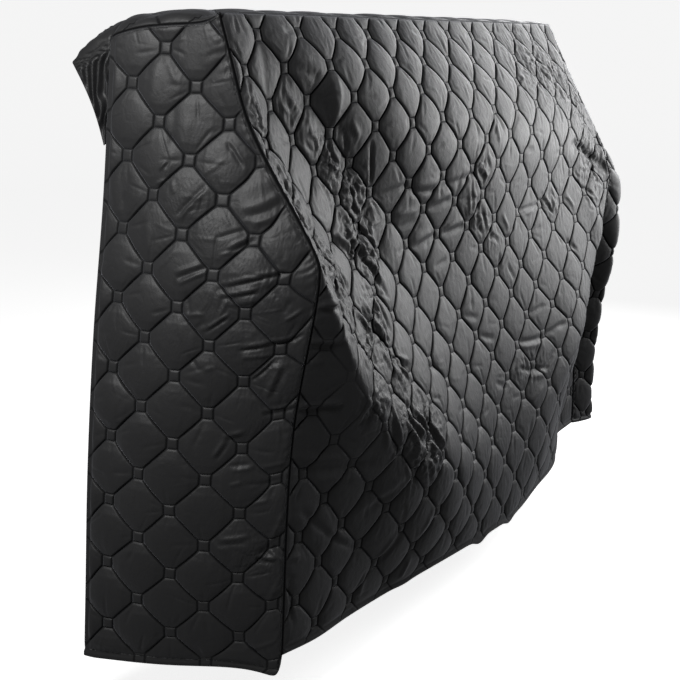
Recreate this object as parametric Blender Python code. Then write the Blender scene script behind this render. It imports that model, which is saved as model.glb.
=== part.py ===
"""A quilted cover for an upright piano: front, two sides, top and a short back flap.

Metres, +Z up. X runs along the length, the front faces -Y, and the origin is the middle of the top,
on the inner face of its cloth, where the lid of the piano holds the cover up.
"""
import bmesh
import bpy
import numpy as np
from mathutils import Vector

# ---- driving dimensions ----
LENGTH = 1.535
TOP_DEPTH = 0.21
CLOTH = 0.006            # quilted cloth, face to face
SEAM_GAP = 0.0003        # between two cloths that are sewn together
TOP_LEVEL = CLOTH / 2    # every surface below is the middle of the cloth's thickness
FRONT_Y = -TOP_DEPTH / 2
BACK_Y = TOP_DEPTH / 2

# ---- mesh ----
COLUMNS = 40             # along the length
ROWS = 24                # from the top edge down to the hem
DEPTH_STEPS = 10         # across the top, and across a side from its back edge to the seam
FLAP_STEPS = 3           # from the flap's seam to its hem
FLAP_ROWS = 4            # rows of a side's back edge that the flap is sewn to
PROFILE_SAMPLES = 240
CREASE_ANGLE = np.radians(40.0)

# ---- front ----
# Sections of the front cloth, at distances from the left seam. "out" is how far the cloth stands in
# front of the top edge and "drop" how far below it. The cloth rolls over a brow, sags into a hollow,
# breaks over a ridge, draws in at the skirt and ends at the hem.
FRONT_KNOTS = ("brow", "hollow", "ridge", "skirt", "hem")
FRONT_COLUMNS = ("at", "brow_out", "brow_drop", "hollow_out", "hollow_drop", "ridge_out", "ridge_drop",
                 "skirt_out", "skirt_drop", "hem_out", "hem_drop")
FRONT_SECTIONS = (
    (0.000, 0.018, 0.070, 0.040, 0.155, 0.176, 0.405, 0.125, 0.700, 0.100, 1.128),
    (0.100, 0.018, 0.060, 0.033, 0.170, 0.192, 0.590, 0.142, 0.800, 0.112, 1.136),
    (0.220, 0.032, 0.070, 0.042, 0.250, 0.195, 0.725, 0.155, 0.900, 0.115, 1.141),
    (0.340, 0.048, 0.090, 0.054, 0.310, 0.200, 0.830, 0.175, 0.960, 0.123, 1.146),
    (0.520, 0.080, 0.160, 0.075, 0.430, 0.202, 0.920, 0.190, 1.020, 0.151, 1.146),
    (0.710, 0.098, 0.190, 0.094, 0.480, 0.190, 0.990, 0.187, 1.060, 0.172, 1.151),
    (0.890, 0.114, 0.220, 0.113, 0.450, 0.187, 1.000, 0.187, 1.070, 0.184, 1.154),
    (1.080, 0.124, 0.240, 0.125, 0.420, 0.200, 0.900, 0.195, 1.020, 0.170, 1.146),
    (1.260, 0.131, 0.250, 0.134, 0.390, 0.212, 0.780, 0.164, 0.980, 0.153, 1.134),
    (1.400, 0.130, 0.250, 0.148, 0.370, 0.186, 0.640, 0.108, 0.930, 0.100, 1.116),
    (1.535, 0.118, 0.240, 0.147, 0.300, 0.174, 0.385, 0.104, 0.760, 0.100, 1.110),
)
RIDGE_EASE = 0.45        # below one, the profile turns more sharply over its ridge

# How far each seam of the front is pulled in towards the middle, by the share of its length.
DRAW_COLUMNS = ("share", "left", "right")
SEAM_DRAW = (
    (0.00, 0.000, 0.043),
    (0.12, 0.008, 0.038),
    (0.30, 0.020, 0.012),
    (0.60, 0.016, 0.000),
    (1.00, 0.008, 0.000),
)
DRAW_REACH = 0.25        # how far along the front that pull is felt

# ---- sides ----
# Plan sections of a side, at distances below the top. Each curve runs from the back edge through the
# middle and the cheek to the seam: "out" is outside the end of the top, "back_lag" behind its back
# edge and "cheek_behind" behind the seam, or in front of it where negative.
SIDE_COLUMNS = ("drop", "back_out", "back_lag", "mid_out", "cheek_out", "cheek_behind")
LEFT_SECTIONS = (
    (0.00, 0.030, 0.000, 0.015, 0.001, 0.032),
    (0.29, 0.060, 0.008, 0.052, 0.009, 0.050),
    (0.53, 0.098, 0.012, 0.083, 0.017, 0.057),
    (0.77, 0.122, 0.020, 0.101, 0.023, 0.053),
    (1.01, 0.135, 0.030, 0.100, 0.026, 0.052),
    (1.17, 0.144, 0.037, 0.082, 0.011, 0.052),
)
RIGHT_SECTIONS = (
    (0.00, 0.010, 0.000, 0.004, -0.012, 0.034),
    (0.20, 0.022, 0.006, 0.020, -0.004, 0.030),
    (0.34, 0.036, 0.010, 0.044, 0.026, 0.004),
    (0.42, 0.042, 0.012, 0.054, 0.046, -0.012),
    (0.60, 0.046, 0.016, 0.052, 0.044, -0.052),
    (0.80, 0.052, 0.022, 0.054, 0.045, -0.050),
    (1.00, 0.056, 0.030, 0.060, 0.060, -0.035),
    (1.15, 0.058, 0.036, 0.066, 0.085, -0.030),
)
MID_SHARE = 0.45         # where the middle and the cheek lie between the back edge and the seam
CHEEK_SHARE = 0.85
BACK_CURL = 0.006        # the back edge of a side turns in

# The edges of a side lie lower than the seam they run from.
DIP_COLUMNS = ("top_edge", "top_corner", "hem", "hem_front")
LEFT_DIPS = (0.018, 0.022, 0.027, 0.026)
RIGHT_DIPS = (0.014, 0.016, 0.003, 0.000)
EDGE_FADE = 10           # powers of the share: how near the seam, or the corner, a dip sets in
CORNER_FADE = 4
HEM_FADE = 60
HEM_FRONT_FADE = 8
TOP_FADE = 45            # how fast the top rises from the dipped edges at its ends

# ---- back flap ----
# Its hem has a flared tip at each corner, and a shallow fall between them.
TIP_OUT = 0.014
TIP_BACK = 0.078
TIP_FALL = 0.042
TIP_FADE = 9
FLAP_BACK = 0.030
FLAP_FALL = 0.120
FLAP_ROLL = 0.010
FLAP_END = 0.006         # the flap's width where its seam ends
FREE_EDGE_SAG = 0.008    # hollow of the hem between a tip and the end of its seam


def through(knots, values, at, ease=1.0):
    """A smooth curve through the knots, read at one or more places."""
    knots = np.asarray(knots, float)
    values = np.asarray(values, float)
    step = np.diff(knots)
    slope = np.diff(values) / step
    tangent = np.empty_like(values)
    tangent[1:-1] = (slope[:-1] * step[1:] + slope[1:] * step[:-1]) / (step[:-1] + step[1:])
    tangent[0] = slope[0]
    tangent[-1] = slope[-1]
    tangent = tangent * ease
    at = np.clip(np.asarray(at, float), knots[0], knots[-1])
    i = np.clip(np.searchsorted(knots, at, side="right") - 1, 0, len(step) - 1)
    t = (at - knots[i]) / step[i]
    return (values[i] * (1 + 2 * t) * (1 - t) ** 2 + tangent[i] * step[i] * t * (1 - t) ** 2
            + values[i + 1] * t ** 2 * (3 - 2 * t) + tangent[i + 1] * step[i] * t ** 2 * (t - 1))


def section(columns, table, place):
    """The sizes in a table's named columns, at a place between its rows."""
    rows = np.array(table)
    return {name: float(through(rows[:, 0], rows[:, k], place)) for k, name in enumerate(columns)}


def along(x, y):
    """Distance travelled along a line of points."""
    return np.concatenate([[0.0], np.cumsum(np.hypot(np.diff(x), np.diff(y)))])


def front_column(at):
    """One column of the front cloth: points from the top edge to the hem, evenly spaced along it."""
    sizes = section(FRONT_COLUMNS, FRONT_SECTIONS, at)
    out = np.array([0.0] + [sizes[knot + "_out"] for knot in FRONT_KNOTS])
    drop = np.array([0.0] + [sizes[knot + "_drop"] for knot in FRONT_KNOTS])
    ease = np.array([1.0] + [RIDGE_EASE if knot == "ridge" else 1.0 for knot in FRONT_KNOTS])
    chord = along(out, drop)
    fine = np.linspace(0.0, chord[-1], PROFILE_SAMPLES)
    out = through(chord, out, fine, ease)
    drop = through(chord, drop, fine, ease)
    girth = along(out, drop)
    near_left = max(0.0, 1.0 - at / DRAW_REACH) ** 2
    near_right = max(0.0, 1.0 - (LENGTH - at) / DRAW_REACH) ** 2
    column = []
    for share in np.linspace(0.0, 1.0, ROWS + 1):
        draw = section(DRAW_COLUMNS, SEAM_DRAW, share)
        x = -LENGTH / 2 + at + draw["left"] * near_left - draw["right"] * near_right
        y = FRONT_Y - np.interp(share * girth[-1], girth, out)
        z = TOP_LEVEL - np.interp(share * girth[-1], girth, drop)
        column.append(Vector((x, y, z)))
    return column


def front_grid():
    """Columns of points over the front, from the left seam to the right one."""
    return [front_column(LENGTH * i / COLUMNS) for i in range(COLUMNS + 1)]


def side_grid(seam, outward, sections, dips):
    """Columns of points over a side, from its back edge to the front seam."""
    dip = dict(zip(DIP_COLUMNS, dips))
    knots = (0.0, MID_SHARE, CHEEK_SHARE, 1.0)
    shares = np.linspace(0.0, 1.0, DEPTH_STEPS + 1)
    columns = [[] for share in shares]
    for k, point in enumerate(seam):
        down = k / ROWS
        sizes = section(SIDE_COLUMNS, sections, TOP_LEVEL - point.z)
        back_y = BACK_Y + sizes["back_lag"]
        mid_y = back_y + (point.y - back_y) * MID_SHARE
        seam_out = outward * point.x - LENGTH / 2
        out = through(knots, (sizes["back_out"], sizes["mid_out"], sizes["cheek_out"], seam_out), shares)
        y = through(knots, (back_y, mid_y, point.y + sizes["cheek_behind"], point.y), shares)
        out[0] -= BACK_CURL
        for a, t in enumerate(shares):
            top_dip = dip["top_edge"] * (1 - t ** EDGE_FADE) + dip["top_corner"] * (1 - t) ** CORNER_FADE
            low_dip = (dip["hem"] + dip["hem_front"] * t ** HEM_FRONT_FADE) * (1 - t ** HEM_FADE)
            z = point.z - top_dip * (1 - down) ** 3 - low_dip * down
            columns[a].append(Vector((outward * (LENGTH / 2 + out[a]), y[a], z)))
        columns[-1][k] = point
    return columns


def top_grid(front_edge, left_edge, right_edge):
    """Rows of points over the top, from its front edge to its back one. The cloth falls to the dipped
    edges of the sides only near its ends."""
    left_back = Vector((left_edge[-1].x, left_edge[-1].y, TOP_LEVEL))
    right_back = Vector((right_edge[-1].x, right_edge[-1].y, TOP_LEVEL))
    rows = [front_edge]
    for k in range(1, DEPTH_STEPS + 1):
        v = k / DEPTH_STEPS
        left_dip = left_edge[k] - front_edge[0].lerp(left_back, v)
        right_dip = right_edge[k] - front_edge[-1].lerp(right_back, v)
        row = []
        for i, front in enumerate(front_edge):
            u = i / COLUMNS
            level = front.lerp(left_back.lerp(right_back, u), v)
            row.append(level + left_dip * (1 - u) ** TOP_FADE + right_dip * u ** TOP_FADE)
        row[0] = left_edge[k]
        row[-1] = right_edge[k]
        rows.append(row)
    return rows


def corner_hem(back_edge, outward, spot):
    """Where the flap's hem runs beside a point of a side's back edge: from the flared tip at the
    corner down to the end of the seam."""
    corner = back_edge[0]
    end = back_edge[FLAP_ROWS]
    share = (corner.z - spot.z) / (corner.z - end.z)
    tip = corner + Vector((outward * TIP_OUT, TIP_BACK, -TIP_FALL))
    last = end + Vector((0.0, FLAP_END, -FLAP_END))
    return tip.lerp(last, share) - Vector((0.0, FREE_EDGE_SAG * np.sin(np.pi * share), 0.0))


def flap_grid(left_back, back_edge, right_back):
    """Strips of points over the flap, from its seam to its hem. The seam climbs the back edge of the
    left side, follows the back of the top and runs down the right side."""
    ends = [(spot, corner_hem(left_back, -1, spot), 0.0) for spot in reversed(left_back[1:FLAP_ROWS + 1])]
    middle = []
    for i, spot in enumerate(back_edge):
        u = i / COLUMNS
        near_left = (1 - u) ** TIP_FADE
        near_right = u ** TIP_FADE
        tip = near_left + near_right
        out = TIP_OUT * (near_right - near_left)
        back = FLAP_BACK + (TIP_BACK - FLAP_BACK) * tip
        fall = FLAP_FALL + (TIP_FALL - FLAP_FALL) * tip
        middle.append((spot, spot + Vector((out, back, -fall)), FLAP_ROLL))
    ends_right = [(spot, corner_hem(right_back, 1, spot), 0.0) for spot in right_back[1:FLAP_ROWS + 1]]
    strips = []
    for seam, hem, roll in ends + middle + ends_right:
        strip = []
        for k in range(FLAP_STEPS + 1):
            w = k / FLAP_STEPS
            lift = roll * np.sin(np.pi * w)
            strip.append(seam.lerp(hem, w) + Vector((0.0, 0.6 * lift, 0.8 * lift)))
        strips.append(strip)
    return strips


class Shell:
    """All the cloths as one welded surface, so that neighbours share the line of their seam."""

    def __init__(self):
        self.mesh = bmesh.new()
        self.found = {}
        self.panels = {}

    def corner(self, point):
        key = tuple(round(value, 6) for value in point)
        if key not in self.found:
            self.found[key] = self.mesh.verts.new(point)
        return self.found[key]

    def add(self, name, grid, flipped):
        faces = []
        for near, far in zip(grid[:-1], grid[1:]):
            for k in range(len(near) - 1):
                ring = [near[k], near[k + 1], far[k + 1], far[k]]
                if flipped:
                    ring.reverse()
                faces.append(self.mesh.faces.new([self.corner(point) for point in ring]))
        self.panels[name] = faces

    def finish(self):
        self.mesh.verts.index_update()
        self.mesh.normal_update()


def seam_shift(vert, faces):
    """How far a corner moves into its own panel, so that the two cloths of a seam stay apart."""
    inward = []
    for edge in vert.link_edges:
        own = [face for face in edge.link_faces if face in faces]
        if len(own) == 1 and len(edge.link_faces) == 2:
            along_seam = (edge.verts[0].co - edge.verts[1].co).normalized()
            across = own[0].calc_center_median() - vert.co
            inward.append((across - along_seam * across.dot(along_seam)).normalized())
    if not inward:
        return Vector((0.0, 0.0, 0.0))
    total = sum(inward, Vector((0.0, 0.0, 0.0))).normalized()
    reach = min(max(total.dot(side), 0.3) for side in inward)
    return total * (SEAM_GAP * 0.75 / reach)


def edge_faces(start, end, count):
    """The two faces that close a cloth along one stretch of its edge. Both cloths of a seam are cut
    along the same diagonal."""
    if start < end:
        return [[end, start, end + count], [start, start + count, end + count]]
    return [[end, start, start + count], [end, start + count, end + count]]


def cloth_object(name, shell, material):
    """One panel's solid: its surface set off to both sides, closed along its edges."""
    faces = set(shell.panels[name])
    corners = sorted({vert for face in faces for vert in face.verts}, key=lambda vert: vert.index)
    place = {vert: i for i, vert in enumerate(corners)}
    count = len(corners)
    outer = []
    inner = []
    for vert in corners:
        spot = vert.co + seam_shift(vert, faces)
        offset = vert.normal * (CLOTH / 2 * vert.calc_shell_factor())
        outer.append(spot + offset)
        inner.append(spot - offset)
    rings = []
    for face in shell.panels[name]:
        ring = [place[vert] for vert in face.verts]
        rings.append(ring)
        rings.append([i + count for i in reversed(ring)])
        for loop in face.loops:
            if sum(other in faces for other in loop.edge.link_faces) == 1:
                rings += edge_faces(place[loop.vert], place[loop.link_loop_next.vert], count)
    mesh = bpy.data.meshes.new(name)
    mesh.from_pydata(outer + inner, [], rings)
    mesh.shade_smooth()
    mesh.set_sharp_from_angle(angle=CREASE_ANGLE)
    mesh.materials.append(material)
    item = bpy.data.objects.new(name, mesh)
    bpy.context.scene.collection.objects.link(item)


def cloth_material(name):
    """Black satin-faced polyester."""
    material = bpy.data.materials.new(name)
    material.use_nodes = True
    surface = material.node_tree.nodes["Principled BSDF"]
    surface.inputs["Base Color"].default_value = (0.012, 0.012, 0.013, 1.0)
    surface.inputs["Roughness"].default_value = 0.5
    surface.inputs["Metallic"].default_value = 0.0
    return material


def build():
    for item in list(bpy.data.objects):
        bpy.data.objects.remove(item)
    front = front_grid()
    left = side_grid(front[0], -1, LEFT_SECTIONS, LEFT_DIPS)
    right = side_grid(front[-1], 1, RIGHT_SECTIONS, RIGHT_DIPS)
    front_edge = [column[0] for column in front]
    left_edge = [column[0] for column in reversed(left)]
    right_edge = [column[0] for column in reversed(right)]
    top = top_grid(front_edge, left_edge, right_edge)
    flap = flap_grid(left[0], top[-1], right[0])

    shell = Shell()
    shell.add("front_panel", front, False)
    shell.add("left_side_panel", left, False)
    shell.add("right_side_panel", right, True)
    shell.add("top_panel", top, False)
    shell.add("back_flap", flap, True)
    shell.finish()
    for name in shell.panels:
        cloth_object(name, shell, cloth_material(name + "_cloth"))
    shell.mesh.free()


if __name__ == "__main__":
    build()
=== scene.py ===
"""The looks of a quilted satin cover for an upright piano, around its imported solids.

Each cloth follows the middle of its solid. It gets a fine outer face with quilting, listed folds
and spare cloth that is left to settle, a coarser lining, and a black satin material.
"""

import bpy
import numpy as np
from mathutils import Matrix, Vector


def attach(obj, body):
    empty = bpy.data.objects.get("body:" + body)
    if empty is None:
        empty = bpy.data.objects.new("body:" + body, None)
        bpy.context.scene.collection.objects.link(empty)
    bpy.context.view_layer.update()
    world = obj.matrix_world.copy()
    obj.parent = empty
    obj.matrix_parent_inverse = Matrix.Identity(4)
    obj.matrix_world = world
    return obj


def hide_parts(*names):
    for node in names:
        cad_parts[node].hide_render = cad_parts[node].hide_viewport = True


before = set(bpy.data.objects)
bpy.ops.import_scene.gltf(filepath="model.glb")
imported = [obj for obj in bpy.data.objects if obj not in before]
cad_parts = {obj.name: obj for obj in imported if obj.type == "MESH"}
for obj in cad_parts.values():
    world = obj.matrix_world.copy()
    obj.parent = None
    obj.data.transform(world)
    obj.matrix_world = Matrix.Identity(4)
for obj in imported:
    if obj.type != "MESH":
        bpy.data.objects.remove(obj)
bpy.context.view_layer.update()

# ---- the cover's sizes, as its solids have them ----
LENGTH = 1.535
TOP_DEPTH = 0.21
CLOTH = 0.006            # quilted cloth, face to face
TOP_LEVEL = CLOTH / 2
FRONT_Y = -TOP_DEPTH / 2
BACK_Y = TOP_DEPTH / 2

# Sections of the front cloth, at distances from the left seam: how far each knot of the profile stands
# in front of the top edge, and how far below it.
FRONT_KNOTS = ("brow", "hollow", "ridge", "skirt", "hem")
FRONT_COLUMNS = ("at", "brow_out", "brow_drop", "hollow_out", "hollow_drop", "ridge_out", "ridge_drop",
                 "skirt_out", "skirt_drop", "hem_out", "hem_drop")
FRONT_SECTIONS = (
    (0.000, 0.018, 0.070, 0.040, 0.155, 0.176, 0.405, 0.125, 0.700, 0.100, 1.128),
    (0.100, 0.018, 0.060, 0.033, 0.170, 0.192, 0.590, 0.142, 0.800, 0.112, 1.136),
    (0.220, 0.032, 0.070, 0.042, 0.250, 0.195, 0.725, 0.155, 0.900, 0.115, 1.141),
    (0.340, 0.048, 0.090, 0.054, 0.310, 0.200, 0.830, 0.175, 0.960, 0.123, 1.146),
    (0.520, 0.080, 0.160, 0.075, 0.430, 0.202, 0.920, 0.190, 1.020, 0.151, 1.146),
    (0.710, 0.098, 0.190, 0.094, 0.480, 0.190, 0.990, 0.187, 1.060, 0.172, 1.151),
    (0.890, 0.114, 0.220, 0.113, 0.450, 0.187, 1.000, 0.187, 1.070, 0.184, 1.154),
    (1.080, 0.124, 0.240, 0.125, 0.420, 0.200, 0.900, 0.195, 1.020, 0.170, 1.146),
    (1.260, 0.131, 0.250, 0.134, 0.390, 0.212, 0.780, 0.164, 0.980, 0.153, 1.134),
    (1.400, 0.130, 0.250, 0.148, 0.370, 0.186, 0.640, 0.108, 0.930, 0.100, 1.116),
    (1.535, 0.118, 0.240, 0.147, 0.300, 0.174, 0.385, 0.104, 0.760, 0.100, 1.110),
)
RIDGE_EASE = 0.45        # below one, the profile turns more sharply over its ridge
# How far each seam of the front is pulled in towards the middle, by the share of its length.
DRAW_COLUMNS = ("share", "left", "right")
SEAM_DRAW = (
    (0.00, 0.000, 0.043),
    (0.12, 0.008, 0.038),
    (0.30, 0.020, 0.012),
    (0.60, 0.016, 0.000),
    (1.00, 0.008, 0.000),
)
DRAW_REACH = 0.25        # how far along the front that pull is felt
# Plan sections of a side, at distances below the top, from its back edge to the seam.
SIDE_COLUMNS = ("drop", "back_out", "back_lag", "mid_out", "cheek_out", "cheek_behind")
LEFT_SECTIONS = (
    (0.00, 0.030, 0.000, 0.015, 0.001, 0.032),
    (0.29, 0.060, 0.008, 0.052, 0.009, 0.050),
    (0.53, 0.098, 0.012, 0.083, 0.017, 0.057),
    (0.77, 0.122, 0.020, 0.101, 0.023, 0.053),
    (1.01, 0.135, 0.030, 0.100, 0.026, 0.052),
    (1.17, 0.144, 0.037, 0.082, 0.011, 0.052),
)
RIGHT_SECTIONS = (
    (0.00, 0.010, 0.000, 0.004, -0.012, 0.034),
    (0.20, 0.022, 0.006, 0.020, -0.004, 0.030),
    (0.34, 0.036, 0.010, 0.044, 0.026, 0.004),
    (0.42, 0.042, 0.012, 0.054, 0.046, -0.012),
    (0.60, 0.046, 0.016, 0.052, 0.044, -0.052),
    (0.80, 0.052, 0.022, 0.054, 0.045, -0.050),
    (1.00, 0.056, 0.030, 0.060, 0.060, -0.035),
    (1.15, 0.058, 0.036, 0.066, 0.085, -0.030),
)
SIDE_KNOTS = (0.0, 0.45, 0.85, 1.0)
BACK_CURL = 0.006        # the back edge of a side turns in
BACK_CURL_SHARE = 0.1
# The edges of a side lie lower than the seam they run from.
DIP_COLUMNS = ("top_edge", "top_corner", "hem", "hem_front")
LEFT_DIPS = (0.018, 0.022, 0.027, 0.026)
RIGHT_DIPS = (0.014, 0.016, 0.003, 0.000)
EDGE_FADE = 10           # powers of the share: how near the seam, or the corner, a dip sets in
CORNER_FADE = 4
HEM_FADE = 60
HEM_FRONT_FADE = 8
TOP_FADE = 45
# The flap's hem has a flared tip at each corner, and a shallow fall between them.
TIP_OUT = 0.014
TIP_BACK = 0.078
TIP_FALL = 0.042
TIP_FADE = 9
FLAP_BACK = 0.030
FLAP_FALL = 0.120
FLAP_ROLL = 0.010
FLAP_ROLL_WAY = (0.6, 0.8)    # back and up
FLAP_END = 0.006
FLAP_SHARE = 4 / 24      # how much of a side's back edge the flap is sewn to
FREE_EDGE_SAG = 0.008

# ---- the quilting: small squares at every other crossing of a lattice, joined by diagonal lines ----
HALF = 0.0615            # lattice step
SQUARE = 1 / 6           # half a small square, in lattice steps
ON_LINE = 2e-3           # a corner this near a line of the lattice is on it
FRONT_GIRTH = 1.18
FRONT_START = (1.6, 0.58)   # lattice steps from the left seam, and from the top edge, to the first square
TOP_START = 0.42
SIDE_START = (0.82, -0.05)
SIDE_STEP = 0.0605
SIDE_TILT = 0.0026       # a side's rows run down towards the front by this much a step
SIDE_LEVEL = 1.5         # the step at which they are at their own height
PUFF = {"front": 0.0058, "side": 0.0068}    # a filled diamond stands this far above its stitching
FULLNESS = {"front": 0.40, "side": 0.46}    # the smaller, the flatter the diamonds
DIAMOND_LEAN = 0.10      # how far off its middle a diamond is fullest
FILL_LEAST = 0.78        # a diamond's share of wadding is at least this
FILL_SPREAD = 0.44       # and this much more at most
SQUARE_SLOPE = 0.30      # the cloth rises over this many lattice steps from a small square
SMALL_PUFF = 0.0010      # how far a small square stands up
TAUT_PUFF = 0.0022
TAUT_FILL = 0.3
TAUT_SHARE = 0.9
# Where the front is pulled nearly flat, from the seam to below the keyboard: an oval's middle, the
# way it leans, and its reach along and across.
TAUT_MIDDLE = (0.3, 10.7)
TAUT_LEAN = (0.57, 0.82)
TAUT_REACH = (2.8, 1.15)
GROOVE = 0.0026          # the stitching lies this far inside the middle of the solid's cloth
STITCH_PULL = 0.0015     # and this much more along the thread itself
STITCH_WIDTH = 0.1       # as a share of a diamond's rise
STITCH_START = 0.9       # this share of the way from a small square's middle to its edge
LINING = 0.0050          # the lining lies this far inside the middle of the solid's cloth
LINING_FILL = 0.0016     # and this much more behind a full diamond
TOP_CROWN = 0.0065       # the cloth over the lid stands this far proud along its middle
CREASE_WIDTH = 1.15      # the listed creases as a whole
CREASE_END = (0.3, 2.5)  # they fade over this share of their length, or this many widths if that is less
MESH_LINES = {"front": 12, "left": 24, "right": 12, "top": 8, "flap": 14}    # for each lattice step
SEEDS = {"front": 21, "left": 221, "right": 321, "top": 121}
# Where the diamonds are fuller or flatter: by what share, from which step on, and over how many steps.
LOW_LOOSE = (0.25, 12.5, 2)
RIGHT_TIGHT = (0.32, 5, 9)
BACK_LOOSE = (0.5, 6, 4)
BACK_LOOSE_REACH = 1.1

# Crumples: sharp folds in every direction. Lengths are in lattice steps, across and down.
CRUMPLE = 0.040          # how high crumpled cloth stands in metres, for each share of spare cloth
CRUMPLE_DEEP = (0.50, 0.62)
CRUMPLE_PROUD = (0.34, 0.40)
CRUMPLE_PROUD_SHARE = 0.8
CRUMPLE_BEND = 0.45
CRUMPLE_BEND_STEP = 0.7
SPARE_STEP = 2.3         # spare cloth is spread unevenly, over this many steps

# Puckers: small folds that run into each diamond from its corners. Lengths are in lattice steps.
PUCKERS = 2              # for each corner
PUCKER_TURN = 1.3        # angle between the furthest to one side and to the other
PUCKER_BEND = 0.25
PUCKER_START = 0.12
PUCKER_REACH = (0.45, 0.75)    # the least, and how much more at most
PUCKER_WIDTH = (0.035, 0.05)
PUCKER_END = 0.35
PUCKER_DEPTH = 0.0026    # metres
PUCKER_PROUD = 0.25      # this share of them stands up
# Ripples: gathers along the diagonal lines. Metres.
RIPPLE_LENGTH = 0.0165
RIPPLE_REACH = 0.004
RIPPLE_HEIGHT = 0.0004
RIPPLE_SWAY = 1.2        # how unevenly they follow each other, in waves
RIPPLE_CHANGES = (3, 4)  # how often that and their height change, for each step along a line
# Crinkles: small folds that run out from a seam that draws its cloth in. Metres.
CRINKLE_LENGTH = 0.019
CRINKLE_HEIGHT = 0.0016
CRINKLE_REACH = 0.014
CRINKLE_START = (0.001, 0.004)   # they begin this far from the seam, and take this long to rise
CRINKLE_SWAY = (1.4, 0.05)       # in waves, and from one bend to the next
CRINKLE_SWELL = 0.03

# ---- edges ----
# Mesh lines along an edge, and the room that they take before the lattice's own begin.
EDGE_LINES = {"seam": (0.0, 0.0012, 0.0035), "hem": (0.0, 0.0015, 0.004, 0.009, 0.0115)}
EDGE_ROOM = {"seam": 0.0060, "hem": 0.0140}
# Edges worked into the outer face: its levels at distances from the edge, then where the quilting
# begins and how far it takes to rise. A seam is drawn in, and a hem is turned and stitched.
EDGE_SHAPES = {
    "seam": ((0.0, 0.0012, 0.0035, 0.009), (-0.0028, -0.0016, 0.0004, 0.0004), 0.002, 0.010),
    "hem": ((0.0, 0.0015, 0.004, 0.009, 0.0115, 0.030),
            (0.0, 0.0012, 0.0015, 0.0010, -0.0016, 0.0), 0.0105, 0.020),
    "narrow hem": ((0.0, 0.0015, 0.004, 0.009, 0.020), (0.0, 0.0016, 0.0020, -0.0014, 0.0), 0.0085, 0.010),
}
EDGE_DEPTH = 0.0014      # how far inside the middle the lining meets an edge
LINING_RISE = 0.02
CALM_EDGE = 0.012        # folds die away this near an edge, and both cloths of a seam turn the same way
WANDER = 0.0030          # how far the stitched lattice lies off an even one
WANDER_STEPS = (1.7, 0.9)    # its broad and its small bends, in lattice steps
WANDER_SMALL = 0.2       # share of the small bends
WANDER_EDGE = 0.05       # less and less within this distance of an edge
SEAM_HELD = 0.0032       # cloth is held this far past an edge's own mesh lines
HEM_HELD = 0.008         # and this much further from a hem
# Where the front's hem hangs low: the place, its reach in lattice steps, and the drop in metres.
HEM_DROPS = ((10.2, 0.45, 0.012), (12.6, 0.4, 0.009), (5.2, 0.5, 0.003))
HEM_DROP_FADE = 0.07

# ---- the flap's gathers ----
GATHER_LENGTH = 0.0135   # from one gather to the next along its seam
GATHER_HEIGHT = 0.0035
# How they sway: by how many waves, over what length, and how often over the flap's width.
GATHER_SWAY = ((1.5, 0.05, 2), (0.4, 0.013, 3))
GATHER_SWELL = (0.03, 2.2)    # over what length and how often over the width their height changes
RIB_LENGTH = 0.0150      # and down a side panel's back edge
RIB_HEIGHT = 0.0050
RIB_SWAY = (0.5, 0.06, 2)
RIB_START = 0.03         # beside the corner of the top, the ribs grow
RIB_RISE = 0.06
RIB_EDGE = 0.12          # shares of the flap's width over which waves and ribs die away
WAVE_START = 0.2
WAVE_END = 0.15
WAVE_LEAST = 0.45        # the share left at the hem, and of the ribs beside a corner
RIB_LEAST = 0.4
FLAP_FACE = 0.0012       # how far outside the middle of its solid the flap's outer face lies
FLAP_SEAM_FACE = -0.001
FLAP_SEAM_SHARE = 0.03
FLAP_HEM_FACE = 0.0006
FLAP_INSIDE = 0.0022     # how far inside it the inner face lies
FLAP_HEM_INSIDE = 0.0008
FLAP_HEM = 0.004
FLAP_TURN = 0.008        # the flap turns from a side panel to the top over this distance
FLAP_FOLLOW = (0.8, 0.9)      # the inner face follows this share of the waves, and never more than the next
CORNER_LEVEL = 0.002     # the top's back corner is where the flap's seam is within this much of its level
# Mesh lines over its width, as shares of it: beside the seam, between, and beside the hem.
FLAP_LINES = ((0.0, 0.012, 0.03, 0.07), (0.10, 0.90, 33), (0.93, 0.97, 0.99, 1.0))

# ---- fine nets on which the surfaces are worked out ----
AT_SAMPLES = 385
SHARE_SAMPLES = 601
DEPTH_SAMPLES = 121
PROFILE_SAMPLES = 1200
FLAP_SAMPLES = 61
INVERT_TURNS = 12
INVERT_PACE = 0.9
INVERT_PAST = 0.02       # how far past a cloth's edges it may look
SIDE_COUNT = (9, 21)     # more lattice steps than a side has across and down
PLACE_GRID = 10 ** 7     # mesh places that fall together on this many steps of a share are one corner


# ---- curves, as in the solids ----
def through(knots, values, at, ease=1.0):
    """A smooth curve through the knots, read at one or more places."""
    knots = np.asarray(knots, float)
    values = np.asarray(values, float)
    step = np.diff(knots)
    slope = np.diff(values) / step
    tangent = np.empty_like(values)
    tangent[1:-1] = (slope[:-1] * step[1:] + slope[1:] * step[:-1]) / (step[:-1] + step[1:])
    tangent[0] = slope[0]
    tangent[-1] = slope[-1]
    tangent = tangent * ease
    at = np.clip(np.asarray(at, float), knots[0], knots[-1])
    i = np.clip(np.searchsorted(knots, at, side="right") - 1, 0, len(knots) - 2)
    width = step[i]
    t = (at - knots[i]) / width
    return (values[i] * (1 + 2 * t) * (1 - t) ** 2 + tangent[i] * width * t * (1 - t) ** 2
            + values[i + 1] * t ** 2 * (3 - 2 * t) + tangent[i + 1] * width * t ** 2 * (t - 1))


def section(columns, table, places):
    """Every column of a table, read at the places that its first column counts."""
    rows = np.array(table)
    return {name: through(rows[:, 0], rows[:, k], places) for k, name in enumerate(columns)}


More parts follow.
